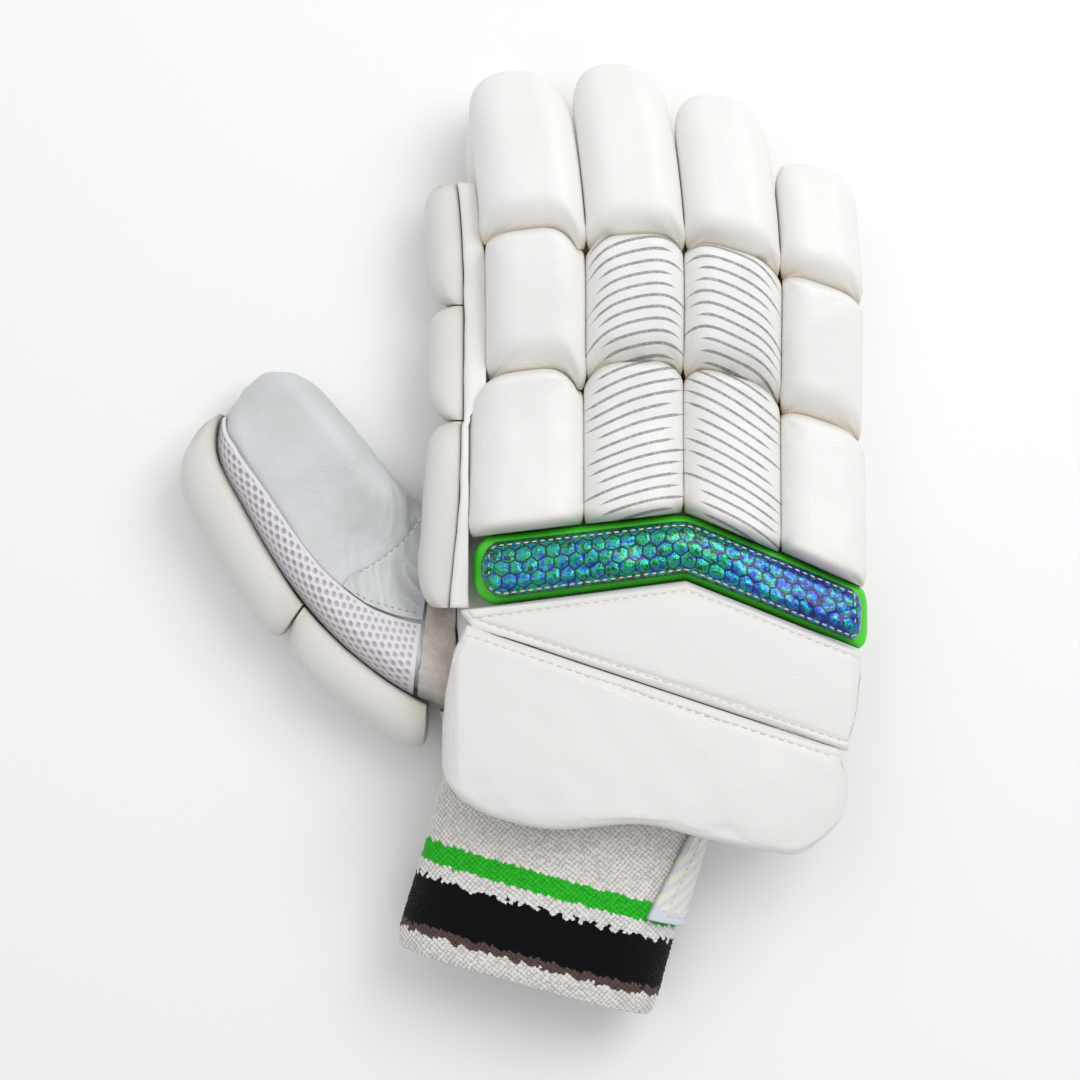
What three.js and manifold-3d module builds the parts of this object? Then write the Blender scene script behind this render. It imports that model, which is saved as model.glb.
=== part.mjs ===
// A right-hand cricket batting glove that lies palm down.
// +Y runs to the fingertips, -X to the thumb and +Z up, out of the back of the hand.
// The origin is on the flat underside of the palm. Lengths are in millimetres and turns in degrees.

import * as THREE from 'three';
import Module from 'manifold-3d';

const wasm = await Module();
wasm.setup();

// Driving sizes of the hand shell.
const clearance = 0.3;
const patchGap = 0.7;
const leatherWall = 2;
const palmAhead = 76;
const palmBehind = 49;
const palmMargin = 1;
const palmMiddle = 5.5;
const wristMiddle = -24;
const wristWidth = 96;
const wristTurn = 15.5;
const crownDrop = 5;

// Driving sizes of the fingers and the rolls on them.
const fingerPitch = 34.5;
const fingerLength = 123;
const fingerHeight = 24;
const fingerArch = 5;
const fingerLean = 8;
const rollHeight = 21;
const rollOverhang = 3;

// Driving sizes of the padded bar on the index finger's outer side.
const sideGuardStart = 11;
const sideGuardLength = 151;
const sideGuardTop = 37;
const sideStripThickness = 1.8;
const sidePadThickness = 13;

// Driving sizes of the chevron band and the wrist blocks.
const bindingHeight = 10;
const bindingMargin = 3;
const panelHeight = 8;
const upperBlockHeight = 15;
const lowerBlockHeight = 17;

// Driving sizes of the thumb.
const thumbRootX = -72.5;
const thumbRootY = 11;
const thumbAim = 125;
const thumbBend = 55;
const thumbLength = 107;
const thumbWidth = 54;
const thumbHeight = 28;
const thumbPadThickness = 16.5;
const thumbPadHeight = 28.5;
const meshThickness = 1.6;
const gussetThickness = 1.2;
const feltThickness = 2;

// Driving sizes of the knitted cuff and the strap round it.
const cuffLength = 76;
const cuffHeight = 34;
const cuffWall = 3;
const cuffDepth = 1.2;
const strapThickness = 2.5;
const strapStart = 6;
const strapWidth = 36;

// What follows from the driving sizes.
const palmLength = palmAhead + palmBehind;
const palmWidth = 4 * fingerPitch + palmMargin;
const cuffRise = strapThickness + patchGap + clearance;
const wristHeight = cuffRise + cuffHeight + cuffDepth;
const padStandoff = meshThickness + patchGap + clearance;

// Sections in shares: the flat base ends at flat, the widest point is as high as belly, and the
// top begins at shoulder.
const shellShape = { flat: 0.86, belly: 0.45, shoulder: 0.8 };
const sleeveShape = { flat: 0.6, belly: 0.45, shoulder: 0.6 };
const thumbShape = { flat: 0.55, belly: 0.48, shoulder: 0.62 };
const rollShape = { flat: 0.82, belly: 0.34, shoulder: 0.36 };
const blockShape = { flat: 0.95, belly: 0.5, shoulder: 0.86 };
const bandShape = { flat: 0.9, belly: 0.4, shoulder: 0.8 };
const domeShape = { flat: 0.96, belly: 0.3, shoulder: 0.5 };
const cuffShape = { flat: 0.35, belly: 0.5, shoulder: 0.35 };

// The hand from the wrist to the finger roots. drift is how far the middle has moved over to the
// wrist's, spread how much of the way the width has grown to the palm's, and turn the share of the
// wrist's turn.
const handTable = [
  { at: 0, drift: 1, spread: 0, turn: 1 },
  { at: 0.1, drift: 0.8, spread: 0.37, turn: 0.84 },
  { at: 0.25, drift: 0.42, spread: 0.74, turn: 0.52 },
  { at: 0.5, drift: 0.09, spread: 1.07, turn: 0.2 },
  { at: 0.78, drift: 0, spread: 1.04, turn: 0 },
  { at: 1, drift: 0, spread: 1, turn: 0 },
];

// The fingers. middle and half are shares of the pitch, reach and the low and high seam are shares of the
// finger length, hook says how far a narrowing tip pulls to the thumb's side, and tilt is the slope
// of the seams across the finger.
const fingers = [
  { name: 'index', middle: -1.275, half: 0.56, reach: 0.984, hook: -0.12, tilt: 0.12, low: 0.142, high: 0.543 },
  { name: 'middle', middle: -0.145, half: 0.46, reach: 1, hook: 0, tilt: 0.04, low: 0.167, high: 0.528 },
  { name: 'ring', middle: 0.858, half: 0.45, reach: 0.911, hook: 0.15, tilt: -0.28, low: 0.126, high: 0.485 },
  { name: 'little', middle: 1.76, half: 0.41, reach: 0.715, hook: 0.5, tilt: -0.32, low: 0, high: 0.388 },
];
const leanStart = 0.34;

// A finger sleeve from its root to its tip: half width, underside and top as shares of the root's.
const sleeveTable = [
  { at: 0, half: 1, low: 0, high: 1 },
  { at: 0.3, half: 1, low: 0, high: 1 },
  { at: 0.6, half: 0.98, low: 0, high: 1 },
  { at: 0.8, half: 0.93, low: 0.02, high: 0.99 },
  { at: 0.91, half: 0.8, low: 0.07, high: 0.96 },
  { at: 0.97, half: 0.58, low: 0.17, high: 0.88 },
  { at: 1, half: 0.3, low: 0.32, high: 0.72 },
];

// Where each roll's left edge lies, in pitches from the origin. end is the little finger's right.
const rollEdges = {
  base: { index: -1.84, middle: -0.665, ring: 0.355, little: 1.35, end: 2.23 },
  mid: { index: -1.66, middle: -0.645, ring: 0.36, little: 1.36, end: 2.2 },
  tip: { index: -1.7, middle: -0.62, ring: 0.385, little: 1.35, end: 2.19 },
};

// A roll between two seams, and the last roll with its rounded tip.
const rollTable = [
  { at: 0, half: 0.94, high: 0.68 },
  { at: 0.05, half: 0.98, high: 0.86 },
  { at: 0.2, half: 1, high: 0.98 },
  { at: 0.5, half: 0.99, high: 1 },
  { at: 0.8, half: 0.985, high: 0.97 },
  { at: 0.95, half: 0.97, high: 0.84 },
  { at: 1, half: 0.93, high: 0.68 },
];
const tipRollTable = [
  { at: 0, half: 0.96, high: 0.72 },
  { at: 0.05, half: 0.98, high: 0.88 },
  { at: 0.25, half: 0.98, high: 1 },
  { at: 0.6, half: 0.95, high: 1 },
  { at: 0.8, half: 0.88, high: 0.95 },
  { at: 0.92, half: 0.72, high: 0.82 },
  { at: 1, half: 0.36, high: 0.58 },
];

// The bar on the index finger's outer side, from the knuckles up: its lower and upper edge as
// shares of its top. It stands higher beside the thumb's web.
const sideTable = [
  { at: 0, base: 0.42, top: 0.97 },
  { at: 0.3, base: 0.42, top: 1 },
  { at: 0.45, base: 0.3, top: 0.93 },
  { at: 0.6, base: 0.18, top: 0.85 },
  { at: 1, base: 0.16, top: 0.8 },
];
const sidePads = [
  { name: 'side_pad_base', from: 0, to: 0.437 },
  { name: 'side_pad_mid', from: 0.441, to: 0.71 },
  { name: 'side_pad_tip', from: 0.714, to: 1 },
];
const bulgeTable = [
  { at: 0, high: 0.42 },
  { at: 0.08, high: 0.76 },
  { at: 0.3, high: 0.98 },
  { at: 0.55, high: 1 },
  { at: 0.85, high: 0.9 },
  { at: 0.95, high: 0.72 },
  { at: 1, high: 0.45 },
];

// The chevron band's upper and lower edge, as shares of palmAhead, against shares of palmWidth.
const bandTable = [
  { at: -0.53, upper: 0.455, lower: 0.128 },
  { at: -0.388, upper: 0.484, lower: 0.161 },
  { at: 0.092, upper: 0.585, lower: 0.276 },
  { at: 0.541, upper: 0.245, lower: -0.051 },
  { at: 0.583, upper: 0.213, lower: -0.082 },
];

// How the band's corners are cut back, as shares of its depth, and how its ends thin out.
const bandEnds = [
  { at: -0.448, upperCut: 0.25, lowerCut: 0.34, thick: 0.55 },
  { at: -0.432, upperCut: 0.08, lowerCut: 0.15, thick: 0.85 },
  { at: -0.41, upperCut: 0, lowerCut: 0.04, thick: 1 },
  { at: -0.388, upperCut: 0, lowerCut: 0, thick: 1 },
  { at: 0.06, upperCut: 0, lowerCut: 0, thick: 1 },
  { at: 0.092, upperCut: 0.02, lowerCut: 0, thick: 1 },
  { at: 0.124, upperCut: 0, lowerCut: 0, thick: 1 },
  { at: 0.538, upperCut: 0, lowerCut: 0, thick: 1 },
  { at: 0.552, upperCut: 0.04, lowerCut: 0.1, thick: 0.88 },
  { at: 0.561, upperCut: 0.2, lowerCut: 0.3, thick: 0.55 },
];

// The seam between the two wrist blocks, as shares of palmBehind.
const seamTable = [
  { at: -0.53, line: 0.172 },
  { at: 0.53, line: -0.824 },
];
const upperBlockEnds = [
  { at: -0.478, upperCut: 0.02, lowerCut: 0.8, thick: 0.55 },
  { at: -0.462, upperCut: 0, lowerCut: 0.35, thick: 0.85 },
  { at: -0.446, upperCut: 0, lowerCut: 0, thick: 1 },
  { at: 0.5, upperCut: 0, lowerCut: 0, thick: 1 },
  { at: 0.522, upperCut: 0, lowerCut: 0.3, thick: 0.9 },
  { at: 0.54, upperCut: 0.02, lowerCut: 0.84, thick: 0.6 },
];

// The lower block's own outline, as shares of palmBehind, kept below the seam.
const lowerBlockTable = [
  { at: -0.524, upper: -0.6, lower: -0.9, thick: 0.55 },
  { at: -0.515, upper: -0.37, lower: -0.98, thick: 0.82 },
  { at: -0.494, upper: -0.08, lower: -1.07, thick: 0.97 },
  { at: -0.464, upper: 0.1, lower: -1.15, thick: 1 },
  { at: -0.395, upper: 0.2, lower: -1.25, thick: 1 },
  { at: -0.247, upper: 0.2, lower: -1.335, thick: 1 },
  { at: -0.025, upper: 0.2, lower: -1.3, thick: 1 },
  { at: 0.131, upper: 0.2, lower: -1.4, thick: 1 },
  { at: 0.3, upper: 0.2, lower: -1.505, thick: 1 },
  { at: 0.37, upper: 0.2, lower: -1.52, thick: 1 },
  { at: 0.432, upper: 0.2, lower: -1.42, thick: 1 },
  { at: 0.483, upper: -0.83, lower: -1.27, thick: 0.9 },
  { at: 0.504, upper: -0.96, lower: -1.12, thick: 0.55 },
];

// The thumb from inside the palm to its tip. reach follows the thumb and sway crosses it, thick is
// a share of its height, low is how far the underside has risen, and dip how deep the web sinks
// beside the index finger.
const thumbTable = [
  { at: -0.2, reach: -0.118, sway: 0.333, half: 0.648, turn: 1, low: 0, thick: 0.95, dip: 0.62 },
  { at: 0, reach: 0, sway: 0, half: 0.648, turn: 1, low: 0, thick: 0.95, dip: 0.62 },
  { at: 0.19, reach: 0.192, sway: -0.19, half: 0.54, turn: 0.58, low: 0, thick: 0.97, dip: 0.5 },
  { at: 0.36, reach: 0.383, sway: -0.252, half: 0.498, turn: 0.354, low: 0, thick: 1, dip: 0.2 },
  { at: 0.62, reach: 0.654, sway: -0.248, half: 0.437, turn: 0, low: 0, thick: 1, dip: 0 },
  { at: 0.8, reach: 0.841, sway: -0.243, half: 0.387, turn: 0, low: 0.02, thick: 0.96, dip: 0 },
  { at: 0.93, reach: 0.944, sway: -0.213, half: 0.27, turn: 0, low: 0.1, thick: 0.85, dip: 0 },
  { at: 1, reach: 0.995, sway: -0.176, half: 0.1, turn: 0, low: 0.28, thick: 0.6, dip: 0 },
];
const dipStart = -0.8;
const dipEnd = 0.1;

// The two thumb pads, from the palm outwards, and their thickness from end to end.
const thumbPads = [
  { name: 'thumb_pad_base', from: 0.04, to: 0.345 },
  { name: 'thumb_pad_tip', from: 0.352, to: 0.95 },
];
const thumbPadTable = [
  { at: 0, high: 0.7 },
  { at: 0.06, high: 0.9 },
  { at: 0.2, high: 1.02 },
  { at: 0.5, high: 1 },
  { at: 0.8, high: 0.93 },
  { at: 0.94, high: 0.78 },
  { at: 1, high: 0.5 },
];

// Patches on a surface. from and to are ways round the section: 0 is the middle of the top, 1 the
// widest point of the right side, 2 the middle of the base, and minus signs run down the left.
const meshTable = [
  { at: 0.068, from: -0.92, to: -0.26 },
  { at: 0.19, from: -0.92, to: -0.42 },
  { at: 0.36, from: -0.92, to: -0.53 },
  { at: 0.62, from: -0.92, to: -0.6 },
  { at: 0.8, from: -0.92, to: -0.66 },
  { at: 0.93, from: -0.94, to: -0.8 },
];
const gussetTable = [
  { at: 0.068, from: -0.22, to: 0.86 },
  { at: 0.15, from: -0.34, to: 0.86 },
  { at: 0.22, from: -0.42, to: 0.25 },
  { at: 0.29, from: -0.46, to: -0.34 },
];
const thumbFeltTable = [
  { at: -0.085, from: -0.9, to: 0.9 },
  { at: 0.06, from: -0.9, to: 0.88 },
];
const wristFeltTable = [
  { at: 0.005, from: -1.1, to: -0.9 },
  { at: 0.075, from: -1.1, to: -0.9 },
];
const strapTable = [
  { at: 0, from: 0.8, to: 2.4 },
  { at: 1, from: 0.66, to: 2.4 },
];

// The cuff from the wrist seam to its hem.
const cuffTable = [
  { at: 0, half: 1, high: 1 },
  { at: 0.2, half: 0.99, high: 0.985 },
  { at: 0.45, half: 0.985, high: 0.97 },
  { at: 0.7, half: 0.995, high: 0.99 },
  { at: 0.9, half: 1, high: 1 },
  { at: 1, half: 0.985, high: 0.98 },
];

// How finely the pieces are made: the longest share between two sections, the corner and top steps
// round a section, and the steps along and across a patch.
const fineness = {
  hand: { longest: 0.1, corner: 3, top: 8 },
  sleeve: { longest: 0.16, hollow: 0.31, corner: 3, top: 2 },
  roll: { longest: 0.3, corner: 2, top: 3 },
  sidePad: { longest: 0.25, corner: 2, top: 2 },
  thumbPad: { longest: 0.2, corner: 2, top: 2 },
  band: { longest: 0.16, corner: 2, top: 3 },
  block: { longest: 0.16, corner: 2, top: 3 },
  thumb: { longest: 0.09, hollow: 0.15, corner: 3, top: 9 },
  cuff: { longest: 0.3, corner: 3, top: 3 },
};
const sideStripSteps = 16;
const patchSteps = {
  mesh: { along: 12, across: 6 },
  gusset: { along: 10, across: 12 },
  thumbFelt: { along: 2, across: 16 },
  wristFelt: { along: 3, across: 6 },
  strap: { along: 3, across: 20 },
};
const sidePadShare = 0.96;
const trimOverhang = 0.05;

const finishes = {
  leather: { color: 0xf4f2ee, roughness: 0.45, metalness: 0 },
  greyLeather: { color: 0xd3d5d7, roughness: 0.5, metalness: 0 },
  green: { color: 0x43c828, roughness: 0.4, metalness: 0 },
  foil: { color: 0x1d5f9c, roughness: 0.25, metalness: 0.8 },
  mesh: { color: 0xe4e0e4, roughness: 0.8, metalness: 0 },
  felt: { color: 0xcfc5be, roughness: 0.95, metalness: 0 },
  knit: { color: 0xdcdad6, roughness: 0.95, metalness: 0 },
  strap: { color: 0xdde0e8, roughness: 0.5, metalness: 0 },
};

const glove = new THREE.Group();

// Puts one named piece into the glove.
function addPiece(name, geometry, finish) {
  const piece = new THREE.Mesh(geometry, new THREE.MeshStandardMaterial(finishes[finish]));
  piece.name = name;
  glove.add(piece);
}

// Reads a table at any place: a smooth curve through every column, or straight lines between rows.
function readRow(table, at, straight = false) {
  const last = table.length - 1;
  const place = THREE.MathUtils.clamp(at, table[0].at, table[last].at);
  let i = 0;
  while (i < last - 1 && place > table[i + 1].at) i += 1;
  const before = table[Math.max(i - 1, 0)];
  const from = table[i];
  const to = table[i + 1];
  const after = table[Math.min(i + 2, last)];
  const span = to.at - from.at;
  const t = (place - from.at) / span;
  const row = {};
  for (const column of Object.keys(from)) {
    const step = to[column] - from[column];
    const leave = straight ? step : (span * (to[column] - before[column])) / (to.at - before.at);
    const arrive = straight ? step : (span * (after[column] - from[column])) / (after.at - from.at);
    const bend = t * (1 - t) * ((1 - t) * (leave - step) - t * (arrive - step));
    row[column] = from[column] + t * step + bend;
  }
  return row;
}

// The places at which a body through a table gets its sections: every row, and enough between.
function stationsOf(table, longest) {
  const stations = [table[0].at];
  for (let i = 1; i < table.length; i += 1) {
    const from = table[i - 1].at;
    const span = table[i].at - from;
    const steps = Math.max(1, Math.ceil(span / longest - 1e-6));
    for (let j = 1; j <= steps; j += 1) {
      stations.push(from + (span * j) / steps);
    }
  }
  return stations;
}

// Even places from one value to another.
function evenly(from, to, steps) {
  return Array.from({ length: steps + 1 }, (_, i) => from + ((to - from) * i) / steps);
}

// A point of a section by its way round.
function wayRound({ flat, belly, shoulder }, way) {
  const hand = way < 0 ? -1 : 1;
  const far = Math.abs(way);
  if (far <= shoulder) return { side: way, up: 1 };
  if (far <= 1) {
    const turn = (Math.PI / 2) * ((1 - far) / (1 - shoulder));
    const side = hand * (shoulder + (1 - shoulder) * Math.cos(turn));
    return { side, up: belly + (1 - belly) * Math.sin(turn) };
  }
  if (far <= 2 - flat) {
    const turn = (Math.PI / 2) * (1 - (far - 1) / (1 - flat));
    return { side: hand * (flat + (1 - flat) * Math.sin(turn)), up: belly * (1 - Math.cos(turn)) };
  }
  return { side: hand * (2 - far), up: 0 };
}

// A whole closed section, from the middle of its base up the right, over the top and down the left.
function sectionLoop(shape, { corner, top }) {
  const ways = [
    2,
    ...evenly(2 - shape.flat, 1, corner),
    ...evenly(1, shape.shoulder, corner).slice(1),
    ...evenly(shape.shoulder, -shape.shoulder, top).slice(1),
    ...evenly(-shape.shoulder, -1, corner).slice(1),
    ...evenly(-1, shape.flat - 2, corner).slice(1),
  ];
  return ways.map((way) => wayRound(shape, way));
}

// A closed body from its points and triangles, with its faces turned outward.
function closedBody(points, triangles) {
  const across = new THREE.Vector3();
  let volume = 0;
  for (const [a, b, c] of triangles) {
    volume += points[a].dot(across.crossVectors(points[b], points[c]));
  }
  const outward = volume > 0 ? triangles : triangles.map(([a, b, c]) => [a, c, b]);
  const geometry = new THREE.BufferGeometry();
  const places = points.flatMap((point) => [point.x, point.y, point.z]);
  geometry.setAttribute('position', new THREE.Float32BufferAttribute(places, 3));
  geometry.setIndex(outward.flat());
  return geometry;
}

// The triangles between each ring and the next, and from the last to the first if it is endless.
function joinRings(rings, endless) {
  const count = rings[0].length;
  const bands = endless ? rings.length : rings.length - 1;
  const triangles = [];
  for (let i = 0; i < bands; i += 1) {
    const from = i * count;
    const to = ((i + 1) % rings.length) * count;
    for (let j = 0; j < count; j += 1) {
      const next = (j + 1) % count;
      triangles.push([from + j, from + next, to + next]);
      triangles.push([from + j, to + next, to + j]);
    }
  }
  return triangles;
}

// A body through rings of points, each end closed by a fan round its middle.
function ringBody(rings) {
  const points = rings.flat();
  const count = rings[0].length;
  const triangles = joinRings(rings, false);
  for (const first of [0, (rings.length - 1) * count]) {
    const ring = points.slice(first, first + count);
    const middle = new THREE.Vector3();
    ring.forEach((point) => middle.addScaledVector(point, 1 / count));
    points.push(middle);
    const hub = points.length - 1;
    for (let j = 0; j < count; j += 1) {
      const here = first + j;
      const next = first + ((j + 1) % count);
      triangles.push(first === 0 ? [hub, next, here] : [hub, here, next]);
    }
  }
  return closedBody(points, triangles);
}

// A tube's wall, open at both ends, through its outer and its inner rings.
function tubeWall(outer, inner) {
  const rings = [...outer, ...inner.slice().reverse()];
  return closedBody(rings.flat(), joinRings(rings, true));
}

// A pocket: one wall round a hollow that is open at the first rings and closed at the last ones.
function pocketWall(outer, inner) {
  return ringBody([...inner.slice().reverse(), ...outer]);
}

// A thick sheet through rows of points, its underside and its outside.
function sheetBody(under, over) {
  const rings = under.map((row, i) => [...row, ...over[i].slice().reverse()]);
  const count = rings[0].length;
  const triangles = joinRings(rings, false);
  for (const first of [0, (rings.length - 1) * count]) {
    for (let j = 0; j + 1 < count / 2; j += 1) {
      const corners = [j + 1, j, count - 1 - j, count - 2 - j].map((corner) => first + corner);
      const [a, b, c, d] = first === 0 ? corners : corners.reverse();
      triangles.push([a, b, c], [a, c, d]);
    }
  }
  return closedBody(rings.flat(), triangles);
}

// A patch on a surface: place gives a point from its station, side, up and how far it stands off.
function patchBody(table, shape, place, { along, across }, thickness) {
  const layer = (off) => evenly(table[0].at, table[table.length - 1].at, along).map((at) => {
    const row = readRow(table, at, true);
    return evenly(row.from, row.to, across).map((way) => {
      const { side, up } = wayRound(shape, way);
      return place(at, side, up, off);
    });
  });
  return sheetBody(layer(patchGap), layer(patchGap + thickness));
}

// A geometry as a solid that can be joined and cut, and back.
function toSolid(geometry) {
  const vertProperties = Float32Array.from(geometry.getAttribute('position').array);
  const triVerts = Uint32Array.from(geometry.getIndex().array);
  return new wasm.Manifold(new wasm.Mesh({ numProp: 3, vertProperties, triVerts }));
}

function toGeometry(solid) {
  const { vertProperties, triVerts } = solid.getMesh();
  const geometry = new THREE.BufferGeometry();
  geometry.setAttribute('position', new THREE.Float32BufferAttribute(vertProperties, 3));
  geometry.setIndex(Array.from(triVerts));
  return geometry;
}

// The hand's middle, half width and turn at a share of the way from the wrist to the finger roots.
function handAt(at) {
  const row = readRow(handTable, at);
  return {
    x: palmMiddle + row.drift * (wristMiddle - palmMiddle),
    y: at * palmLength - palmBehind,
    half: THREE.MathUtils.lerp(wristWidth, palmWidth, row.spread) / 2,
    turn: THREE.MathUtils.degToRad(row.turn * wristTurn),
  };
}

// The height of the back of the hand: it rises to the wrist and drops to both sides.
function backHeight(x, y) {
  const back = Math.max(0, palmAhead - y);
  const rise = ((wristHeight - fingerHeight) * back) / palmLength;
  const ridge = THREE.MathUtils.lerp(palmMiddle, wristMiddle, back / palmLength);
  const side = (x - ridge) / (palmWidth / 2);
  return fingerHeight + rise - crownDrop * side * side;
}

// A point of the hand shell, standing off it by grow.
function handPoint(at, side, up, grow) {
  const hand = handAt(at);
  const across = side * (hand.half + grow);
  const x = hand.x + across * Math.cos(hand.turn);
  const y = hand.y - across * Math.sin(hand.turn);
  return new THREE.Vector3(x, y, up * (backHeight(x, y) + 2 * grow) - grow);
}

function handRings(stations, grow) {
  const loop = sectionLoop(shellShape, fineness.hand);
  return stations.map((at) => loop.map(({ side, up }) => handPoint(at, side, up, grow)));
}

// How far a finger is from its root, as a share of its own length.
function alongFinger(finger, y) {
  return (y - palmAhead) / (finger.reach * fingerLength);
}

// How far all fingers lean over to the thumb's side, more and more towards their tips.
function fingerBend(y) {
  const lean = Math.max(0, (y - palmAhead) / fingerLength - leanStart) / (1 - leanStart);
  return -fingerLean * lean * lean;
}

// How far the finger's arch lifts it off the surface.
function fingerLift(finger, y) {
  const along = THREE.MathUtils.clamp(alongFinger(finger, y), 0, 1);
  return fingerArch * Math.sin(Math.PI * along) ** 2;
}

function fingerTop(finger, x, y) {
  return backHeight(x, y) + fingerLift(finger, y);
}

// A point of a finger sleeve, standing off it by grow.
function sleevePoint(finger, at, side, up, grow) {
  const row = readRow(sleeveTable, at);
  const length = finger.reach * fingerLength - clearance + Math.min(grow, 0);
  const y = palmAhead + clearance + at * length;
  const half = finger.half * fingerPitch;
  const middle = finger.middle * fingerPitch + fingerBend(y) - finger.hook * (1 - row.half) * half;
  const x = middle + side * (row.half * half + grow);
  const height = backHeight(x, y);
  const low = row.low * height - grow;
  const high = row.high * height + grow;
  return new THREE.Vector3(x, y, fingerLift(finger, y) + low + up * (high - low));
}

function sleeveRings(finger, grow) {
  const { longest, hollow } = fineness.sleeve;
  const loop = sectionLoop(sleeveShape, fineness.sleeve);
  const stations = stationsOf(sleeveTable, grow < 0 ? hollow : longest);
  return stations.map((at) => loop.map(({ side, up }) => sleevePoint(finger, at, side, up, grow)));
}

// The way through the palm's front wall into a finger.
function fingerPassage(finger) {
  const loop = sectionLoop(sleeveShape, fineness.sleeve);
  const ring = (y) => loop.map(({ side, up }) => {
    const point = sleevePoint(finger, 0, side, up, -leatherWall);
    return new THREE.Vector3(point.x, y, point.z);
  });
  return toSolid(ringBody([ring(palmAhead - 3 * leatherWall), ring(palmAhead + leatherWall)]));
}

// The chevron band's edges and the seam between the wrist blocks, at any place across the hand.
function bandUpper(x) {
  return readRow(bandTable, x / palmWidth, true).upper * palmAhead;
}

function bandLower(x) {
  return readRow(bandTable, x / palmWidth, true).lower * palmAhead;
}

function blockSeam(x) {
  return readRow(seamTable, x / palmWidth, true).line * palmBehind;
}

// One padded roll on a finger, between its two seams.
function rollBody(finger, right, roll) {
  const left = rollEdges[roll][finger.name] * fingerPitch;
  const edge = rollEdges[roll][right] * fingerPitch - clearance;
  const middle = (left + edge) / 2;
  const pivot = finger.middle * fingerPitch;
  const seam = (share, x) => palmAhead + share * fingerLength + finger.tilt * (x - pivot);
  const tip = palmAhead + finger.reach * fingerLength + rollOverhang;
  const ends = {
    base: (x) => [bandUpper(x) + clearance, seam(finger.low, x) - clearance],
    mid: (x) => [seam(finger.low, x), seam(finger.high, x) - clearance],
    tip: (x) => [seam(finger.high, x), tip],
  };
  const table = roll === 'tip' ? tipRollTable : rollTable;
  const loop = sectionLoop(rollShape, fineness.roll);
  const rings = stationsOf(table, fineness.roll.longest).map((at) => {
    const row = readRow(table, at);
    return loop.map(({ side, up }) => {
      const flat = middle + ((side * row.half - finger.hook * (1 - row.half)) * (edge - left)) / 2;
      const [start, end] = ends[roll](flat);
      const y = THREE.MathUtils.lerp(start, end, at);
      const x = flat + fingerBend(y);
      return new THREE.Vector3(x, y, fingerTop(finger, x, y) + clearance + up * row.high * rollHeight);
    });
  });
  return ringBody(rings);
}

// The left edge of the index finger and of the palm below it.
function sideEdge(y) {
  const index = fingers[0];
  const finger = (index.middle - index.half) * fingerPitch + fingerBend(y);
  const hand = handAt((y + palmBehind) / palmLength);
  return y < palmAhead ? Math.min(finger, hand.x - hand.half) : finger;
}

// A point beside the index finger: side runs from the bar's lower to its upper edge.
function sidePoint(at, side, off) {
  const row = readRow(sideTable, at);
  const y = sideGuardStart + at * sideGuardLength;
  const base = row.base * sideGuardTop;
  const top = row.top * sideGuardTop;
  return new THREE.Vector3(sideEdge(y) - off, y, THREE.MathUtils.lerp(base, top, (side + 1) / 2));
}

function sideStrip() {
  const stations = evenly(0, 1, sideStripSteps);
  const layer = (off) => stations.map((at) => [-1, 1].map((side) => sidePoint(at, side, off)));
  return sheetBody(layer(clearance), layer(clearance + sideStripThickness));
}

function sidePad(pad) {
  const loop = sectionLoop(rollShape, fineness.sidePad);
  const seat = sideStripThickness + 2 * clearance;
  const rings = stationsOf(bulgeTable, fineness.sidePad.longest).map((along) => {
    const { high } = readRow(bulgeTable, along);
    const at = THREE.MathUtils.lerp(pad.from, pad.to, along);
    return loop.map(({ side, up }) => {
      const off = seat + up * high * sidePadThickness;
      return sidePoint(at, side * sidePadShare, off);
    });
  });
  return ringBody(rings);
}

// A pad across the hand, between an upper and a lower edge, on a base above the back of the hand.
function acrossPad(stations, outline, shape, base, height) {
  const loop = sectionLoop(shape, fineness.block);
  const rings = stations.map((at) => {
    const x = at * palmWidth;
    const { upper, lower, thick } = outline(x, at);
    return loop.map(({ side, up }) => {
      const y = THREE.MathUtils.lerp(upper, lower, (side + 1) / 2);
      return new THREE.Vector3(x, y, backHeight(x, y) + base + up * thick * height);
    });
  });
  return ringBody(rings);
}

// An outline between two edges whose corners are cut back, drawn in by a margin.
function cutOutline(table, upperEdge, lowerEdge, margin) {
  return (x, at) => {
    const row = readRow(table, at, true);
    const depth = upperEdge(x) - lowerEdge(x);
    return {
      upper: upperEdge(x) - row.upperCut * depth - margin,
      lower: lowerEdge(x) + row.lowerCut * depth + margin,
      thick: row.thick,
    };
  };
}

function lowerBlockOutline(x, at) {
  const row = readRow(lowerBlockTable, at, true);
  return {
    upper: Math.min(row.upper * palmBehind, blockSeam(x) - clearance),
    lower: row.lower * palmBehind,
    thick: row.thick,
  };
}

// A point of the thumb, standing off it by grow. Its top sinks into the web on the right.
function thumbPoint(at, side, up, grow) {
  const row = readRow(thumbTable, at);
  const aim = THREE.MathUtils.degToRad(thumbAim);
  const lateral = aim - Math.PI / 2 + THREE.MathUtils.degToRad(row.turn * thumbBend);
  const reach = row.reach * thumbLength;
  const sway = row.sway * thumbWidth;
  const across = side * (row.half * thumbWidth + grow);
  const x = thumbRootX + reach * Math.cos(aim) + sway * Math.sin(aim) + across * Math.cos(lateral);
  const y = thumbRootY + reach * Math.sin(aim) - sway * Math.cos(aim) + across * Math.sin(lateral);
  const sunk = row.dip * THREE.MathUtils.smoothstep(side, dipStart, dipEnd);
  const low = row.low * thumbHeight - grow;
  const high = row.thick * (1 - sunk) * thumbHeight + grow;
  return new THREE.Vector3(x, y, low + up * (high - low));
}

function thumbRings(stations, grow) {
  const loop = sectionLoop(thumbShape, fineness.thumb);
  return stations.map((at) => loop.map(({ side, up }) => thumbPoint(at, side, up, grow)));
}

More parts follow.
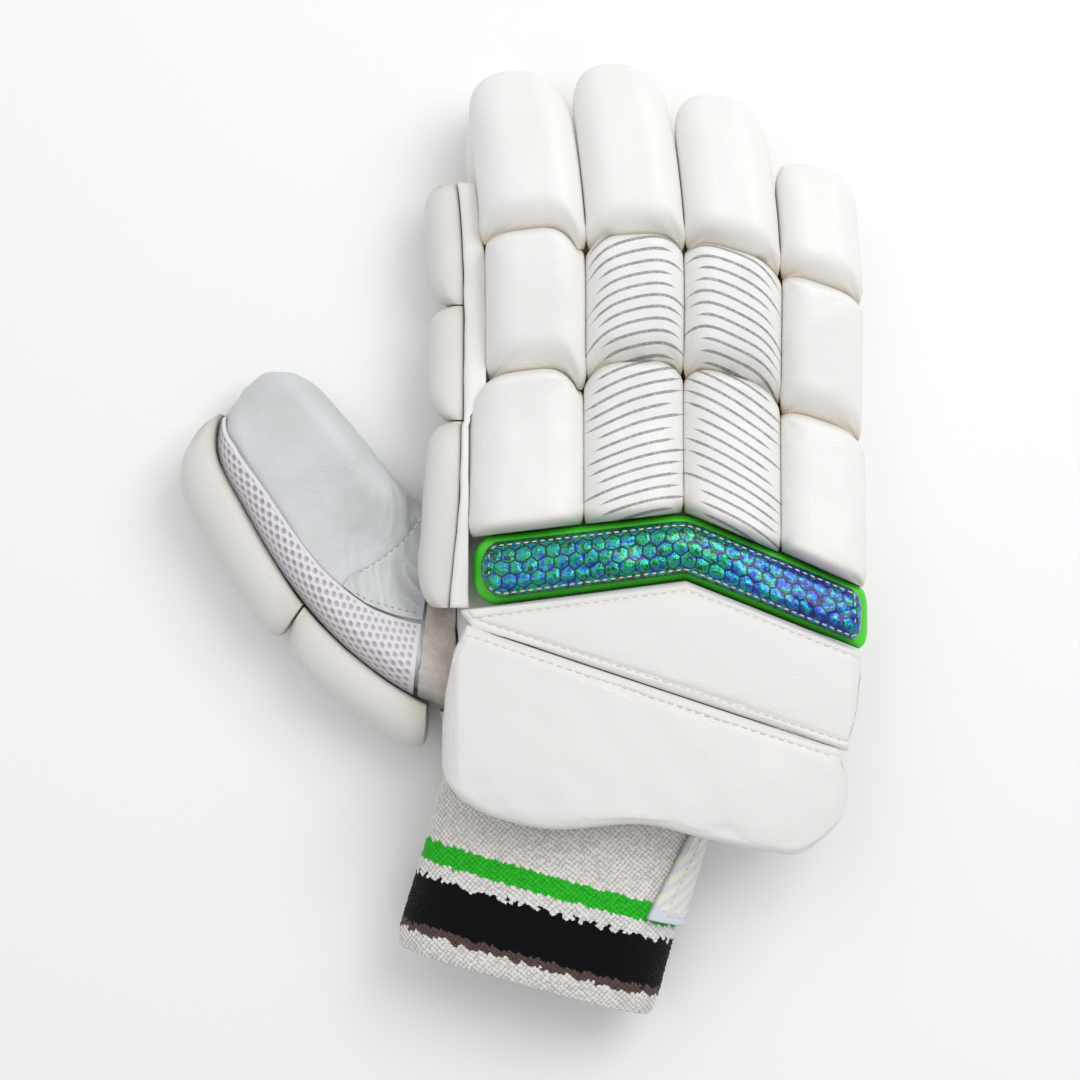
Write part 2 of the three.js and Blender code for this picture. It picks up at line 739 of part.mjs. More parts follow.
// A pad on the thumb's outer side: side runs from its foot to its top.
function thumbPad(pad) {
  const loop = sectionLoop(rollShape, fineness.thumbPad);
  const rings = stationsOf(thumbPadTable, fineness.thumbPad.longest).map((along) => {
    const { high } = readRow(thumbPadTable, along);
    const at = THREE.MathUtils.lerp(pad.from, pad.to, along);
    return loop.map(({ side, up }) => {
      const point = thumbPoint(at, -1, 0, padStandoff + up * high * thumbPadThickness);
      point.z = (thumbPadHeight * (side + 1)) / 2;
      return point;
    });
  });
  return ringBody(rings);
}

// A point of the cuff, standing off it by grow, at a distance from the wrist seam.
function cuffPoint(distance, side, up, grow) {
  const row = readRow(cuffTable, distance / cuffLength);
  const turn = THREE.MathUtils.degToRad(wristTurn);
  const across = side * (row.half * wristWidth / 2 + grow);
  const x = wristMiddle - distance * Math.sin(turn) + across * Math.cos(turn);
  const y = -palmBehind - distance * Math.cos(turn) - across * Math.sin(turn);
  const height = row.high * cuffHeight + 2 * grow;
  return new THREE.Vector3(x, y, cuffRise - grow + up * height);
}

function cuffRings(grow) {
  const loop = sectionLoop(cuffShape, fineness.cuff);
  return stationsOf(cuffTable, fineness.cuff.longest).map((at) => {
    const distance = Math.max(clearance, at * cuffLength);
    return loop.map(({ side, up }) => cuffPoint(distance, side, up, grow));
  });
}

function strapPoint(at, side, up, grow) {
  return cuffPoint(strapStart + at * strapWidth, side, up, grow);
}

// The hand shell is hollow, with ways through to the four fingers and the thumb.
const handStations = stationsOf(handTable, fineness.hand.longest);
const wristStep = leatherWall / palmLength;
const hollowStations = [-wristStep, ...handStations.slice(0, -1), 1 - wristStep];
const thumbStations = stationsOf(thumbTable, fineness.thumb.longest);
const thumbHollowStations = stationsOf(thumbTable, fineness.thumb.hollow).slice(0, -1);
const thumbHollow = toSolid(ringBody(thumbRings(thumbHollowStations, -leatherWall)));
const handOuter = toSolid(ringBody(handRings(handStations, 0)));
const handHollow = toSolid(ringBody(handRings(hollowStations, -leatherWall)));
const passages = fingers.map(fingerPassage);
const palmShell = passages.reduce(
  (shell, passage) => shell.subtract(passage),
  handOuter.subtract(handHollow).subtract(thumbHollow),
);
addPiece('palm_shell', toGeometry(palmShell), 'leather');

fingers.forEach((finger, i) => {
  const sleeve = pocketWall(sleeveRings(finger, 0), sleeveRings(finger, -leatherWall));
  addPiece(`${finger.name}_sleeve`, sleeve, 'leather');
  const right = i + 1 < fingers.length ? fingers[i + 1].name : 'end';
  for (const roll of ['base', 'mid', 'tip']) {
    addPiece(`${finger.name}_${roll}_roll`, rollBody(finger, right, roll), 'leather');
  }
});

addPiece('side_strip', sideStrip(), 'leather');
sidePads.forEach((pad) => addPiece(pad.name, sidePad(pad), 'leather'));

// The chevron band: a green edge and the foil cushion on it.
const bandStations = stationsOf(bandEnds, fineness.band.longest);
const binding = cutOutline(bandEnds, bandUpper, bandLower, 0);
addPiece('knuckle_binding', acrossPad(bandStations, binding, bandShape, clearance, bindingHeight), 'green');
const bandLeft = bandEnds[0].at;
const bandRight = bandEnds[bandEnds.length - 1].at;
const bandMiddle = (bandLeft + bandRight) / 2;
const bandShrink = 1 - (2 * bindingMargin) / (palmWidth * (bandRight - bandLeft));
const shrink = (at) => bandMiddle + (at - bandMiddle) * bandShrink;
const shrunkEnds = bandEnds.map((row) => ({ ...row, at: shrink(row.at) }));
const panel = cutOutline(shrunkEnds, bandUpper, bandLower, bindingMargin);
const panelBase = bindingHeight + 2 * clearance;
addPiece(
  'knuckle_panel',
  acrossPad(stationsOf(shrunkEnds, fineness.band.longest), panel, domeShape, panelBase, panelHeight),
  'foil',
);

// The two wrist blocks below the band.
const belowBand = (x) => bandLower(x) - clearance;
const upperOutline = cutOutline(upperBlockEnds, belowBand, blockSeam, 0);
const upperStations = stationsOf(upperBlockEnds, fineness.block.longest);
const lowerStations = stationsOf(lowerBlockTable, fineness.block.longest);
addPiece(
  'wrist_block_upper',
  acrossPad(upperStations, upperOutline, blockShape, clearance, upperBlockHeight),
  'leather',
);
addPiece(
  'wrist_block_lower',
  acrossPad(lowerStations, lowerBlockOutline, blockShape, clearance, lowerBlockHeight),
  'leather',
);

// The thumb is trimmed to stand against the palm.
const trimStations = [-trimOverhang, ...handStations.slice(1, -1), 1 + trimOverhang];
const handTrim = toSolid(ringBody(handRings(trimStations, clearance)));
const thumbOuter = toSolid(ringBody(thumbRings(thumbStations, 0)));
addPiece('thumb_sleeve', toGeometry(thumbOuter.subtract(thumbHollow).subtract(handTrim)), 'greyLeather');
thumbPads.forEach((pad) => addPiece(pad.name, thumbPad(pad), 'leather'));
addPiece('thumb_mesh', patchBody(meshTable, thumbShape, thumbPoint, patchSteps.mesh, meshThickness), 'mesh');
const gusset = patchBody(gussetTable, thumbShape, thumbPoint, patchSteps.gusset, gussetThickness);
addPiece('web_gusset', gusset, 'greyLeather');
const thumbFelt = patchBody(thumbFeltTable, thumbShape, thumbPoint, patchSteps.thumbFelt, feltThickness);
addPiece('thumb_felt', toGeometry(toSolid(thumbFelt).subtract(handTrim)), 'felt');
const wristFelt = patchBody(wristFeltTable, shellShape, handPoint, patchSteps.wristFelt, feltThickness);
addPiece('wrist_felt', wristFelt, 'felt');

// The knitted cuff and the strap round its right side.
addPiece('cuff', tubeWall(cuffRings(0), cuffRings(-cuffWall)), 'knit');
addPiece('strap', patchBody(strapTable, cuffShape, strapPoint, patchSteps.strap, strapThickness), 'strap');

export default glove;
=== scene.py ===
# %% [markdown]
# A right-hand cricket batting glove that lies palm down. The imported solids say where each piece
# is; this lesson gives every piece its padded, wrinkled or knitted surface. Most surfaces are
# functions of two parameters, worked out with numpy in millimetres and put into a mesh in metres.
# The palm, the thumb and its felt are cut by their neighbours, so they start from their solids.

# %% Load the frame
import math

import bmesh
import bpy
import numpy as np
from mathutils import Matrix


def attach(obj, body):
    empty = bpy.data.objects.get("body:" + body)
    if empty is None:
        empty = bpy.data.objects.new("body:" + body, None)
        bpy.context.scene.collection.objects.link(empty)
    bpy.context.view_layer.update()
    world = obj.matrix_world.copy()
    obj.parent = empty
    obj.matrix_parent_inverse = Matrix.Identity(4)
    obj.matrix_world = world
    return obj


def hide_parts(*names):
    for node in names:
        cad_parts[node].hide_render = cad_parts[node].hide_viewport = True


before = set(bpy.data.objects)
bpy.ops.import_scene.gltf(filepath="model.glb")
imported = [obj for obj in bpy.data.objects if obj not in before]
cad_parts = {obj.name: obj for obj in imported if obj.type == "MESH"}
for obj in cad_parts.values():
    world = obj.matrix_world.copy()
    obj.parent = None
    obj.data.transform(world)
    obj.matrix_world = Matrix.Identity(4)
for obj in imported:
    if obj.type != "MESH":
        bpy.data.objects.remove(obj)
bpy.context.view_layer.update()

MM = 0.001
print("solids in the frame:", len(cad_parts))

# %% [markdown]
# The driving sizes are those of the part's source. Repeating them keeps every surface on its
# solid, so a seam made here lies where the solids meet.

# %% Sizes in millimetres
clearance = 0.3
patch_gap = 0.7
leather_wall = 2.0
palm_ahead, palm_behind = 76.0, 49.0
palm_middle, wrist_middle = 5.5, -24.0
wrist_width, wrist_turn = 96.0, 15.5
crown_drop = 5.0
finger_pitch, finger_length, finger_height = 34.5, 123.0, 24.0
finger_arch, finger_lean, lean_start = 5.0, 8.0, 0.34
roll_height, roll_overhang = 21.0, 3.0
side_start, side_length, side_top = 11.0, 151.0, 37.0
side_strip_thickness, side_pad_thickness, side_pad_share = 1.8, 13.0, 0.96
binding_height, binding_margin, panel_height = 10.0, 3.0, 8.0
upper_block_height, lower_block_height = 15.0, 17.0
thumb_root_x, thumb_root_y, thumb_aim, thumb_bend = -72.5, 11.0, 125.0, 55.0
thumb_length, thumb_width, thumb_height = 107.0, 54.0, 28.0
thumb_pad_thickness, thumb_pad_height = 16.5, 28.5
mesh_thickness, gusset_thickness, felt_thickness = 1.6, 1.2, 2.0
cuff_length, cuff_height, cuff_wall, cuff_depth = 76.0, 34.0, 3.0, 1.2
strap_thickness, strap_start, strap_width = 2.5, 6.0, 36.0
palm_length = palm_ahead + palm_behind
palm_width = 4 * finger_pitch + 1.0
cuff_rise = strap_thickness + patch_gap + clearance
wrist_height = cuff_rise + cuff_height + cuff_depth
pad_standoff = mesh_thickness + patch_gap + clearance
print("palm", palm_length, "by", palm_width, "mm, wrist", wrist_height, "mm high")

# %% Tables of shares, a column for each value
hand_table = {
    "at": [0, 0.1, 0.25, 0.5, 0.78, 1],
    "drift": [1, 0.8, 0.42, 0.09, 0, 0],
    "spread": [0, 0.37, 0.74, 1.07, 1.04, 1],
    "turn": [1, 0.84, 0.52, 0.2, 0, 0],
}
fingers = {
    "index": dict(middle=-1.275, half=0.56, reach=0.984, hook=-0.12, tilt=0.12, low=0.142, high=0.543),
    "middle": dict(middle=-0.145, half=0.46, reach=1, hook=0, tilt=0.04, low=0.167, high=0.528),
    "ring": dict(middle=0.858, half=0.45, reach=0.911, hook=0.15, tilt=-0.28, low=0.126, high=0.485),
    "little": dict(middle=1.76, half=0.41, reach=0.715, hook=0.5, tilt=-0.32, low=0, high=0.388),
}
sleeve_table = {
    "at": [0, 0.3, 0.6, 0.8, 0.91, 0.97, 1],
    "half": [1, 1, 0.98, 0.93, 0.8, 0.58, 0.3],
    "low": [0, 0, 0, 0.02, 0.07, 0.17, 0.32],
    "high": [1, 1, 1, 0.99, 0.96, 0.88, 0.72],
}
roll_edges = {
    "base": [-1.84, -0.665, 0.355, 1.35, 2.23],
    "mid": [-1.66, -0.645, 0.36, 1.36, 2.2],
    "tip": [-1.7, -0.62, 0.385, 1.35, 2.19],
}
side_table = {
    "at": [0, 0.3, 0.45, 0.6, 1],
    "base": [0.42, 0.42, 0.3, 0.18, 0.16],
    "top": [0.97, 1, 0.93, 0.85, 0.8],
}
band_table = {
    "at": [-0.53, -0.388, 0.092, 0.541, 0.583],
    "upper": [0.455, 0.484, 0.585, 0.245, 0.213],
    "lower": [0.128, 0.161, 0.276, -0.051, -0.082],
}
band_ends = {
    "at": [-0.448, -0.432, -0.41, -0.388, 0.06, 0.092, 0.124, 0.538, 0.552, 0.561],
    "upper": [0.25, 0.08, 0, 0, 0, 0.02, 0, 0, 0.04, 0.2],
    "lower": [0.34, 0.15, 0.04, 0, 0, 0, 0, 0, 0.1, 0.3],
}
seam_table = {"at": [-0.53, 0.53], "line": [0.172, -0.824]}
upper_ends = {
    "at": [-0.478, -0.462, -0.446, 0.5, 0.522, 0.54],
    "upper": [0.02, 0, 0, 0, 0, 0.02],
    "lower": [0.8, 0.35, 0, 0, 0.3, 0.84],
}
lower_block = {
    "at": [-0.524, -0.515, -0.494, -0.464, -0.395, -0.247, -0.025, 0.131, 0.3, 0.37, 0.432, 0.483, 0.504],
    "upper": [-0.6, -0.37, -0.08, 0.1, 0.2, 0.2, 0.2, 0.2, 0.2, 0.2, 0.2, -0.83, -0.96],
    "lower": [-0.9, -0.98, -1.07, -1.15, -1.25, -1.335, -1.3, -1.4, -1.505, -1.52, -1.42, -1.27, -1.12],
}
thumb_table = {
    "at": [-0.2, 0, 0.19, 0.36, 0.62, 0.8, 0.93, 1],
    "reach": [-0.118, 0, 0.192, 0.383, 0.654, 0.841, 0.944, 0.995],
    "sway": [0.333, 0, -0.19, -0.252, -0.248, -0.243, -0.213, -0.176],
    "half": [0.648, 0.648, 0.54, 0.498, 0.437, 0.387, 0.27, 0.1],
    "turn": [1, 1, 0.58, 0.354, 0, 0, 0, 0],
    "low": [0, 0, 0, 0, 0, 0.02, 0.1, 0.28],
    "thick": [0.95, 0.95, 0.97, 1, 1, 0.96, 0.85, 0.6],
    "dip": [0.62, 0.62, 0.5, 0.2, 0, 0, 0, 0],
}
cuff_table = {
    "at": [0, 0.2, 0.45, 0.7, 0.9, 1],
    "half": [1, 0.99, 0.985, 0.995, 1, 0.985],
    "high": [1, 0.985, 0.97, 0.99, 1, 0.98],
}
shell_shape = (0.86, 0.45, 0.8)
sleeve_shape = (0.6, 0.45, 0.6)
thumb_shape = (0.55, 0.48, 0.62)
roll_shape = (0.82, 0.56, 0.34)
side_pad_shape = (0.82, 0.34, 0.36)
block_shape = (0.97, 0.78, 0.88)
band_shape = (0.9, 0.4, 0.8)
dome_shape = (0.96, 0.3, 0.5)
cuff_shape = (0.35, 0.5, 0.35)
print("fingers:", ", ".join(fingers))

# %% [markdown]
# A table is read as a smooth curve through its rows, and a section is walked by one number, the
# way round: 0 is the middle of the top, 1 the widest point on the right and 2 the middle of the
# base. With whole arrays of such numbers a surface needs no loop over its points.

# %% Reading tables and walking round sections
def read(table, column, at, straight=False):
    """One column at any places: straight lines between rows, plus a cubic that matches slopes."""
    x, y = np.array(table["at"], float), np.array(table[column], float)
    place = np.clip(at, x[0], x[-1])
    i = np.searchsorted(x[1:-1], place, side="left")
    before, after = np.maximum(i - 1, 0), np.minimum(i + 2, len(x) - 1)
    span = x[i + 1] - x[i]
    t, step = (place - x[i]) / span, y[i + 1] - y[i]
    if straight:
        return y[i] + t * step
    leave = span * (y[i + 1] - y[before]) / (x[i + 1] - x[before])
    arrive = span * (y[after] - y[i]) / (x[after] - x[i])
    return y[i] + t * step + t * (1 - t) * ((1 - t) * (leave - step) - t * (arrive - step))


def way_round(shape, way):
    """Side and height of a section: a flat top, elliptical shoulders and flanks, a flat base."""
    flat, belly, shoulder = shape
    hand, far = np.where(way < 0, -1.0, 1.0), np.abs(way)
    rise = np.clip((1 - far) / (1 - shoulder), 0, 1) * math.pi / 2
    fall = (1 - np.clip((far - 1) / (1 - flat), 0, 1)) * math.pi / 2
    side = np.where(far <= shoulder, way, hand * (shoulder + (1 - shoulder) * np.cos(rise)))
    side = np.where(far > 1, hand * (flat + (1 - flat) * np.sin(fall)), side)
    side = np.where(far > 2 - flat, hand * (2 - far), side)
    up = np.where(far <= 1, belly + (1 - belly) * np.sin(rise), belly * (1 - np.cos(fall)))
    return side, np.where(far <= shoulder, 1.0, up)


def ways_of(shape, base, corner, top):
    """The ways of a whole closed section, down the left, over the top and round the base."""
    flat, _, shoulder = shape
    parts = [(2, 2 - flat, base), (2 - flat, 1, corner), (1, shoulder, corner),
             (shoulder, -shoulder, top), (-shoulder, -1, corner), (-1, flat - 2, corner),
             (flat - 2, -2, base)]
    return np.concatenate([np.linspace(a, b, n, endpoint=False) for a, b, n in parts])


def ease(x, start, end):
    """Goes smoothly from 0 at start to 1 at end."""
    t = np.clip((x - start) / (end - start), 0, 1)
    return t * t * (3 - 2 * t)


def lerp(a, b, t):
    """Part t of the way from a to b."""
    return a + (b - a) * t


def crowd(count, power=1.0):
    """Places from 0 to 1 that lie closer together at both ends."""
    t = np.linspace(0, 1, count)
    return lerp(t, 0.5 - 0.5 * np.cos(math.pi * t), power)


def waves(points, size, seed, count=14):
    """Soft lumps about one size across: a sum of sine waves that run in scattered directions."""
    rng = np.random.default_rng(seed)
    ways = rng.normal(size=(count, 3))
    pace = rng.uniform(0.6, 1.5, (count, 1))
    ways *= (2 * math.pi / size) * pace / np.linalg.norm(ways, axis=1, keepdims=True)
    return np.sin(points @ ways.T + rng.uniform(0, 2 * math.pi, count)).mean(axis=-1) * 2


print("a roll's section has", len(ways_of(roll_shape, 3, 10, 18)), "points")

# %% [markdown]
# The places of the glove: the back of the hand, the arched fingers, the thumb with its web, the
# oval cuff. They are the same formulas as the solids', for arrays.

# %% The forms that carry the pieces
def xyz(x, y, z):
    """Points from three arrays, spread to one shape."""
    return np.stack(np.broadcast_arrays(x, y, z), axis=-1)


def back_height(x, y):
    """The back of the hand rises to the wrist and drops by a parabola to both sides."""
    back = np.maximum(0, palm_ahead - y)
    ridge = lerp(palm_middle, wrist_middle, back / palm_length)
    rise = (wrist_height - finger_height) * back / palm_length
    return finger_height + rise - crown_drop * ((x - ridge) / (palm_width / 2)) ** 2


def hand_point(at, side, up, grow):
    """A flattened section on a middle line that turns towards the wrist."""
    turn = np.radians(read(hand_table, "turn", at) * wrist_turn)
    middle = palm_middle + read(hand_table, "drift", at) * (wrist_middle - palm_middle)
    half = lerp(wrist_width, palm_width, read(hand_table, "spread", at)) / 2
    across = side * (half + grow)
    x, y = middle + across * np.cos(turn), at * palm_length - palm_behind - across * np.sin(turn)
    return xyz(x, y, up * (back_height(x, y) + 2 * grow) - grow)


def finger_bend(y):
    """All fingers lean to the thumb's side, by a parabola from lean_start on."""
    lean = np.maximum(0, (y - palm_ahead) / finger_length - lean_start) / (1 - lean_start)
    return -finger_lean * lean * lean


def finger_lift(finger, y):
    """A relaxed finger arches off the surface by a squared sine."""
    along = np.clip((y - palm_ahead) / (finger["reach"] * finger_length), 0, 1)
    return finger_arch * np.sin(math.pi * along) ** 2


def sleeve_point(finger, at, side, up, grow):
    """A round-edged tube that narrows and lifts at its tip."""
    length = finger["reach"] * finger_length - clearance + min(grow, 0)
    y = palm_ahead + clearance + at * length
    half, width = finger["half"] * finger_pitch, read(sleeve_table, "half", at)
    middle = finger["middle"] * finger_pitch + finger_bend(y) - finger["hook"] * (1 - width) * half
    x = middle + side * (width * half + grow)
    height = back_height(x, y)
    low, high = read(sleeve_table, "low", at) * height - grow, read(sleeve_table, "high", at) * height + grow
    return xyz(x, y, finger_lift(finger, y) + low + up * (high - low))


def thumb_point(at, side, up, grow):
    """The thumb's sections swing from across the palm to across the thumb; the web side sinks."""
    aim = math.radians(thumb_aim)
    lateral = aim - math.pi / 2 + np.radians(read(thumb_table, "turn", at) * thumb_bend)
    reach, sway = read(thumb_table, "reach", at) * thumb_length, read(thumb_table, "sway", at) * thumb_width
    across = side * (read(thumb_table, "half", at) * thumb_width + grow)
    x = thumb_root_x + reach * math.cos(aim) + sway * math.sin(aim) + across * np.cos(lateral)
    y = thumb_root_y + reach * math.sin(aim) - sway * math.cos(aim) + across * np.sin(lateral)
    sunk = read(thumb_table, "dip", at) * ease(side, -0.8, 0.1)
    low = read(thumb_table, "low", at) * thumb_height - grow
    high = read(thumb_table, "thick", at) * (1 - sunk) * thumb_height + grow
    return xyz(x, y, low + up * (high - low))


def cuff_point(distance, side, up, grow):
    """An oval tube that runs back from the wrist, turned with it."""
    share, turn = distance / cuff_length, math.radians(wrist_turn)
    across = side * (read(cuff_table, "half", share) * wrist_width / 2 + grow)
    x = wrist_middle - distance * math.sin(turn) + across * math.cos(turn)
    y = -palm_behind - distance * math.cos(turn) - across * math.sin(turn)
    return xyz(x, y, cuff_rise - grow + up * (read(cuff_table, "high", share) * cuff_height + 2 * grow))


def side_edge(y):
    """The left edge of the index finger, or of the palm where that reaches further."""
    finger = (fingers["index"]["middle"] - fingers["index"]["half"]) * finger_pitch + finger_bend(y)
    at = (y + palm_behind) / palm_length
    hand = palm_middle + read(hand_table, "drift", at) * (wrist_middle - palm_middle)
    hand = hand - lerp(wrist_width, palm_width, read(hand_table, "spread", at)) / 2
    return np.where(y < palm_ahead, np.minimum(finger, hand), finger)


def side_point(at, side, off):
    """A place beside the index finger, off it to the thumb's side."""
    y = side_start + at * side_length
    base, top = read(side_table, "base", at) * side_top, read(side_table, "top", at) * side_top
    return xyz(side_edge(y) - off, y, lerp(base, top, (side + 1) / 2))


def band_edge(column, x):
    """The knuckle band's upper or lower edge at x: straight lines between the table's rows."""
    return read(band_table, column, x / palm_width, True) * palm_ahead


def block_seam(x):
    """The seam between the wrist blocks at x, one straight line."""
    return read(seam_table, "line", x / palm_width, True) * palm_behind


print("back of the hand over the knuckles:", round(float(back_height(palm_middle, 40.0)), 1), "mm")

# %% [markdown]
# Finishes are node materials. One small class lets shader sums be written as Python expressions:
# wherever two sockets meet in a sum, it adds the Math node. Every pattern comes from Object
# coordinates, or from the piece's own surface map where it has to follow the cloth.

# %% Writing shaders as expressions
def paint(code):
    """A colour code such as F5F3F0 as the linear numbers that shaders use."""
    parts = [int(code[i:i + 2], 16) / 255 for i in (0, 2, 4)]
    return tuple(c / 12.92 if c <= 0.04045 else ((c + 0.055) / 1.055) ** 2.4 for c in parts) + (1.0,)


class Shade:
    """A socket that can be written into sums."""

    def __init__(self, finish, socket):
        self.finish, self.socket = finish, socket

    def math(self, operation, *values):
        """A Math node on these values."""
        return self.finish.node("ShaderNodeMath", {"operation": operation}, dict(enumerate(values)))

    def __add__(self, other):
        return self.math("ADD", self, other)

    def __sub__(self, other):
        return self.math("SUBTRACT", self, other)

    def __rsub__(self, other):
        return self.math("SUBTRACT", other, self)

    def __mul__(self, other):
        return self.math("MULTIPLY", self, other)

    def __truediv__(self, other):
        return self.math("DIVIDE", self, other)

    __radd__ = __add__
    __rmul__ = __mul__

    def step(self, start, end):
        """0 below start, 1 above end, smooth between."""
        settings = {"interpolation_type": "SMOOTHSTEP"}
        return self.finish.node("ShaderNodeMapRange", settings, {0: self, 1: start, 2: end, 3: 0.0, 4: 1.0})


class Finish:
    """A material under construction, with its one shader."""

    def __init__(self, name, **sockets):
        self.material = bpy.data.materials.new(name)
        self.material.use_nodes = True
        self.tree = self.material.node_tree
        self.shader = self.tree.nodes["Principled BSDF"]
        for socket, value in sockets.items():
            self.shader.inputs[socket.replace("_", " ").title().replace("Ior", "IOR")].default_value = value

    def node(self, kind, settings=None, values=None, out=0):
        """Any node: its settings are set first, then the values or links of its sockets."""
        node = self.tree.nodes.new(kind)
        for key, value in (settings or {}).items():
            if key == "stops":
                ramp = node.color_ramp
                while len(ramp.elements) < len(value):
                    ramp.elements.new(1.0)
                for element, (place, colour) in zip(ramp.elements, value):
                    element.position, element.color = place, colour
            else:
                setattr(node, key, value)
        for key, value in (values or {}).items():
            if isinstance(value, Shade):
                self.tree.links.new(value.socket, node.inputs[key])
            else:
                node.inputs[key].default_value = value
        return Shade(self, node.outputs[out])

    def set(self, socket, value):
        """Links a value to a socket of the shader."""
        self.tree.links.new(value.socket, self.shader.inputs[socket])

    def place(self):
        """Object coordinates in metres."""
        return self.node("ShaderNodeTexCoord", out="Object")

    def surface(self):
        """The piece's own map, across and along it in millimetres."""
        flat_map = self.node("ShaderNodeUVMap", {"uv_map": "surface"})
        split = self.node("ShaderNodeSeparateXYZ", None, {0: flat_map})
        return split, Shade(self, split.socket.node.outputs[1])

    def noise(self, scale, detail=2.0, rough=0.5, where=None):
        """Cloudy noise: scale is its lumps to a metre."""
        values = {"Scale": scale, "Detail": detail, "Roughness": rough, "Vector": where or self.place()}
        return self.node("ShaderNodeTexNoise", None, values)

    def mix(self, factor, a, b):
        """Colour a where factor is 0 and b where it is 1."""
        return self.node("ShaderNodeMix", {"data_type": "RGBA"}, {0: factor, 6: a, 7: b}, out=2)

    def attribute(self, name):
        """A number that the mesh carries at each point."""
        return self.node("ShaderNodeAttribute", {"attribute_name": name}, out="Fac")

    def bump(self, height, distance, strength=1.0):
        """Relief of that depth in metres."""
        values = {"Height": height, "Distance": distance, "Strength": strength}
        self.set("Normal", self.node("ShaderNodeBump", None, values))


print("white leather is", [round(c, 3) for c in paint("F5F3F0")])

# %% [markdown]
# The white covers are coated leather: satin, with a very fine grain, and cream painted shade in the
# folds and down the flanks where the light doesn't reach. A value named fold,
# worked out with each surface, says where that is.

# %% Leather finishes
line_pitch, line_half, line_arch = 4.1, 0.135, 0.0068


def leather(name, light, shade, rough=0.42, peak=None):
    """Coated leather: cream painted shade where the shape's value says, darker clouds at random, with grain
    and pores as relief.
    """
    made = Finish(name, roughness=rough)
    fold = made.attribute("fold")
    cloud = made.noise(45.0, 3.0)
    # Painted shade from the shape's value, with darker clouds at random, sets the cream tone.
    tone = fold * 0.9 + (cloud - 0.5) * 0.25
    colour = made.mix(tone.step(0.05, 1.0), paint(light), paint(shade))
    grain = made.noise(1500.0, 3.0, 0.6)
    pores = made.node("ShaderNodeTexVoronoi", {"feature": "F1"}, {"Vector": made.place(), "Scale": 1150.0})
    relief = grain * 0.6 + pores * 0.6
    if peak is not None:
        colour = lines_on(made, colour, peak)
    made.set("Base Color", colour)
    made.set("Roughness", rough - 0.06 + grain * 0.12 + fold * 0.1)
    made.bump(relief, 0.00022, 0.55)
    return made.material


def lines_on(made, colour, peak):
    """Thin grey strokes that arch over the roll, highest at peak: each starts and ends at random."""
    across, along = made.surface()
    away = across - peak
    flow = along + away * away * line_arch + (made.noise(22.0, 1.0) - 0.5) * 3.0
    rows = flow / line_pitch
    number = rows.math("FLOOR", rows)
    middle = rows - number - 0.5
    start = made.node("ShaderNodeTexWhiteNoise", {"noise_dimensions": "1D"}, {"W": number + 0.37})
    end = made.node("ShaderNodeTexWhiteNoise", {"noise_dimensions": "1D"}, {"W": number + 7.71})
    begins = across.step(-20.0, -3.0) - start * 0.6
    stops = 1.0 - across.step(4.0, 21.0) - end * 0.55
    run = begins.step(-0.15, 0.25) * stops.step(-0.15, 0.3)
    width = run * line_half
    gap = width - middle.math("ABSOLUTE", middle)
    ink = gap.step(-0.012, 0.02)
    fleck = made.noise(900.0, 2.0).step(0.3, 0.62)
    return made.mix(ink * (0.7 + fleck * 0.3), colour, paint("939696"))


white = leather("white_leather", "F0EFED", "E3D7C3")
# The flat blocks and the side and thumb pads get darker copies of the white leather as painted shade.
shaded_flat_white = leather("shaded_flat_leather", "E9E7E5", "D8D2C8")
shaded_white = leather("shaded_side_leather", "E0DEDB", "CFC9BF")
lined_white = {name: leather(f"{name}_lined_leather", "F0EFED", "E3D9C8", peak=peak)
               for name, peak in (("middle", 14.0), ("ring", -12.0))}
print("leathers:", white.name, *[made.name for made in lined_white.values()])

# %% [markdown]
# The thumb and its web are soft grey glove leather, which creases where it bends, and the knuckle
# band has a smooth green edge like rubber. Creases this fine would need millions of faces, so they
# are bump, and the broad dents are left to the shape.

# %% Grey leather and green edging
def grey_leather():
    """Soft leather: clouded grey, with painted shade in the gusset's crumples and random darker clouds on the
    thumb, and creases and pores as relief.
    """
    made = Finish("grey_leather", roughness=0.5)
    fold = made.attribute("fold")
    cloud = made.noise(38.0, 4.0, 0.6)
    colour = made.mix((cloud * 0.5 + fold * 0.6).step(0.2, 1.2), paint("D4D7D9"), paint("B2B4B4"))
    creases = made.noise(95.0, 5.0, 0.62)
    fine = made.node("ShaderNodeTexVoronoi", {"feature": "F1"}, {"Vector": made.place(), "Scale": 900.0})
    made.set("Base Color", colour)
    made.set("Roughness", 0.42 + cloud * 0.2)
    made.bump(creases + fine * 0.16, 0.0011, 0.5)
    return made.material


def green_edging():
    """Smooth green rubber, with painted shade down its lower sides and darker clouds at random."""
    made = Finish("green_edging", roughness=0.38)
    fold, cloud = made.attribute("fold"), made.noise(60.0, 3.0)
    made.set("Base Color", made.mix((fold + cloud * 0.3).step(0.1, 1.2), paint("49D42A"), paint("22981A")))
    made.set("Roughness", 0.34 + cloud * 0.12)
    made.bump(made.noise(1300.0, 2.0), 0.0002, 0.35)
    return made.material


grey = grey_leather()
green = green_edging()
print("finishes:", grey.name, green.name)

# %% [markdown]
# The knuckle cushion is covered in foil that is pressed into small scales, and its colour drifts
# from navy over teal to green. A painted picture would blur from close by, so two lattices in the
# shader give the scales, and one hue from cloudy noise runs through a ramp of colours.

# %% Embossed foil
scale_wide = 5.2
scale_tall = scale_wide * 1.732


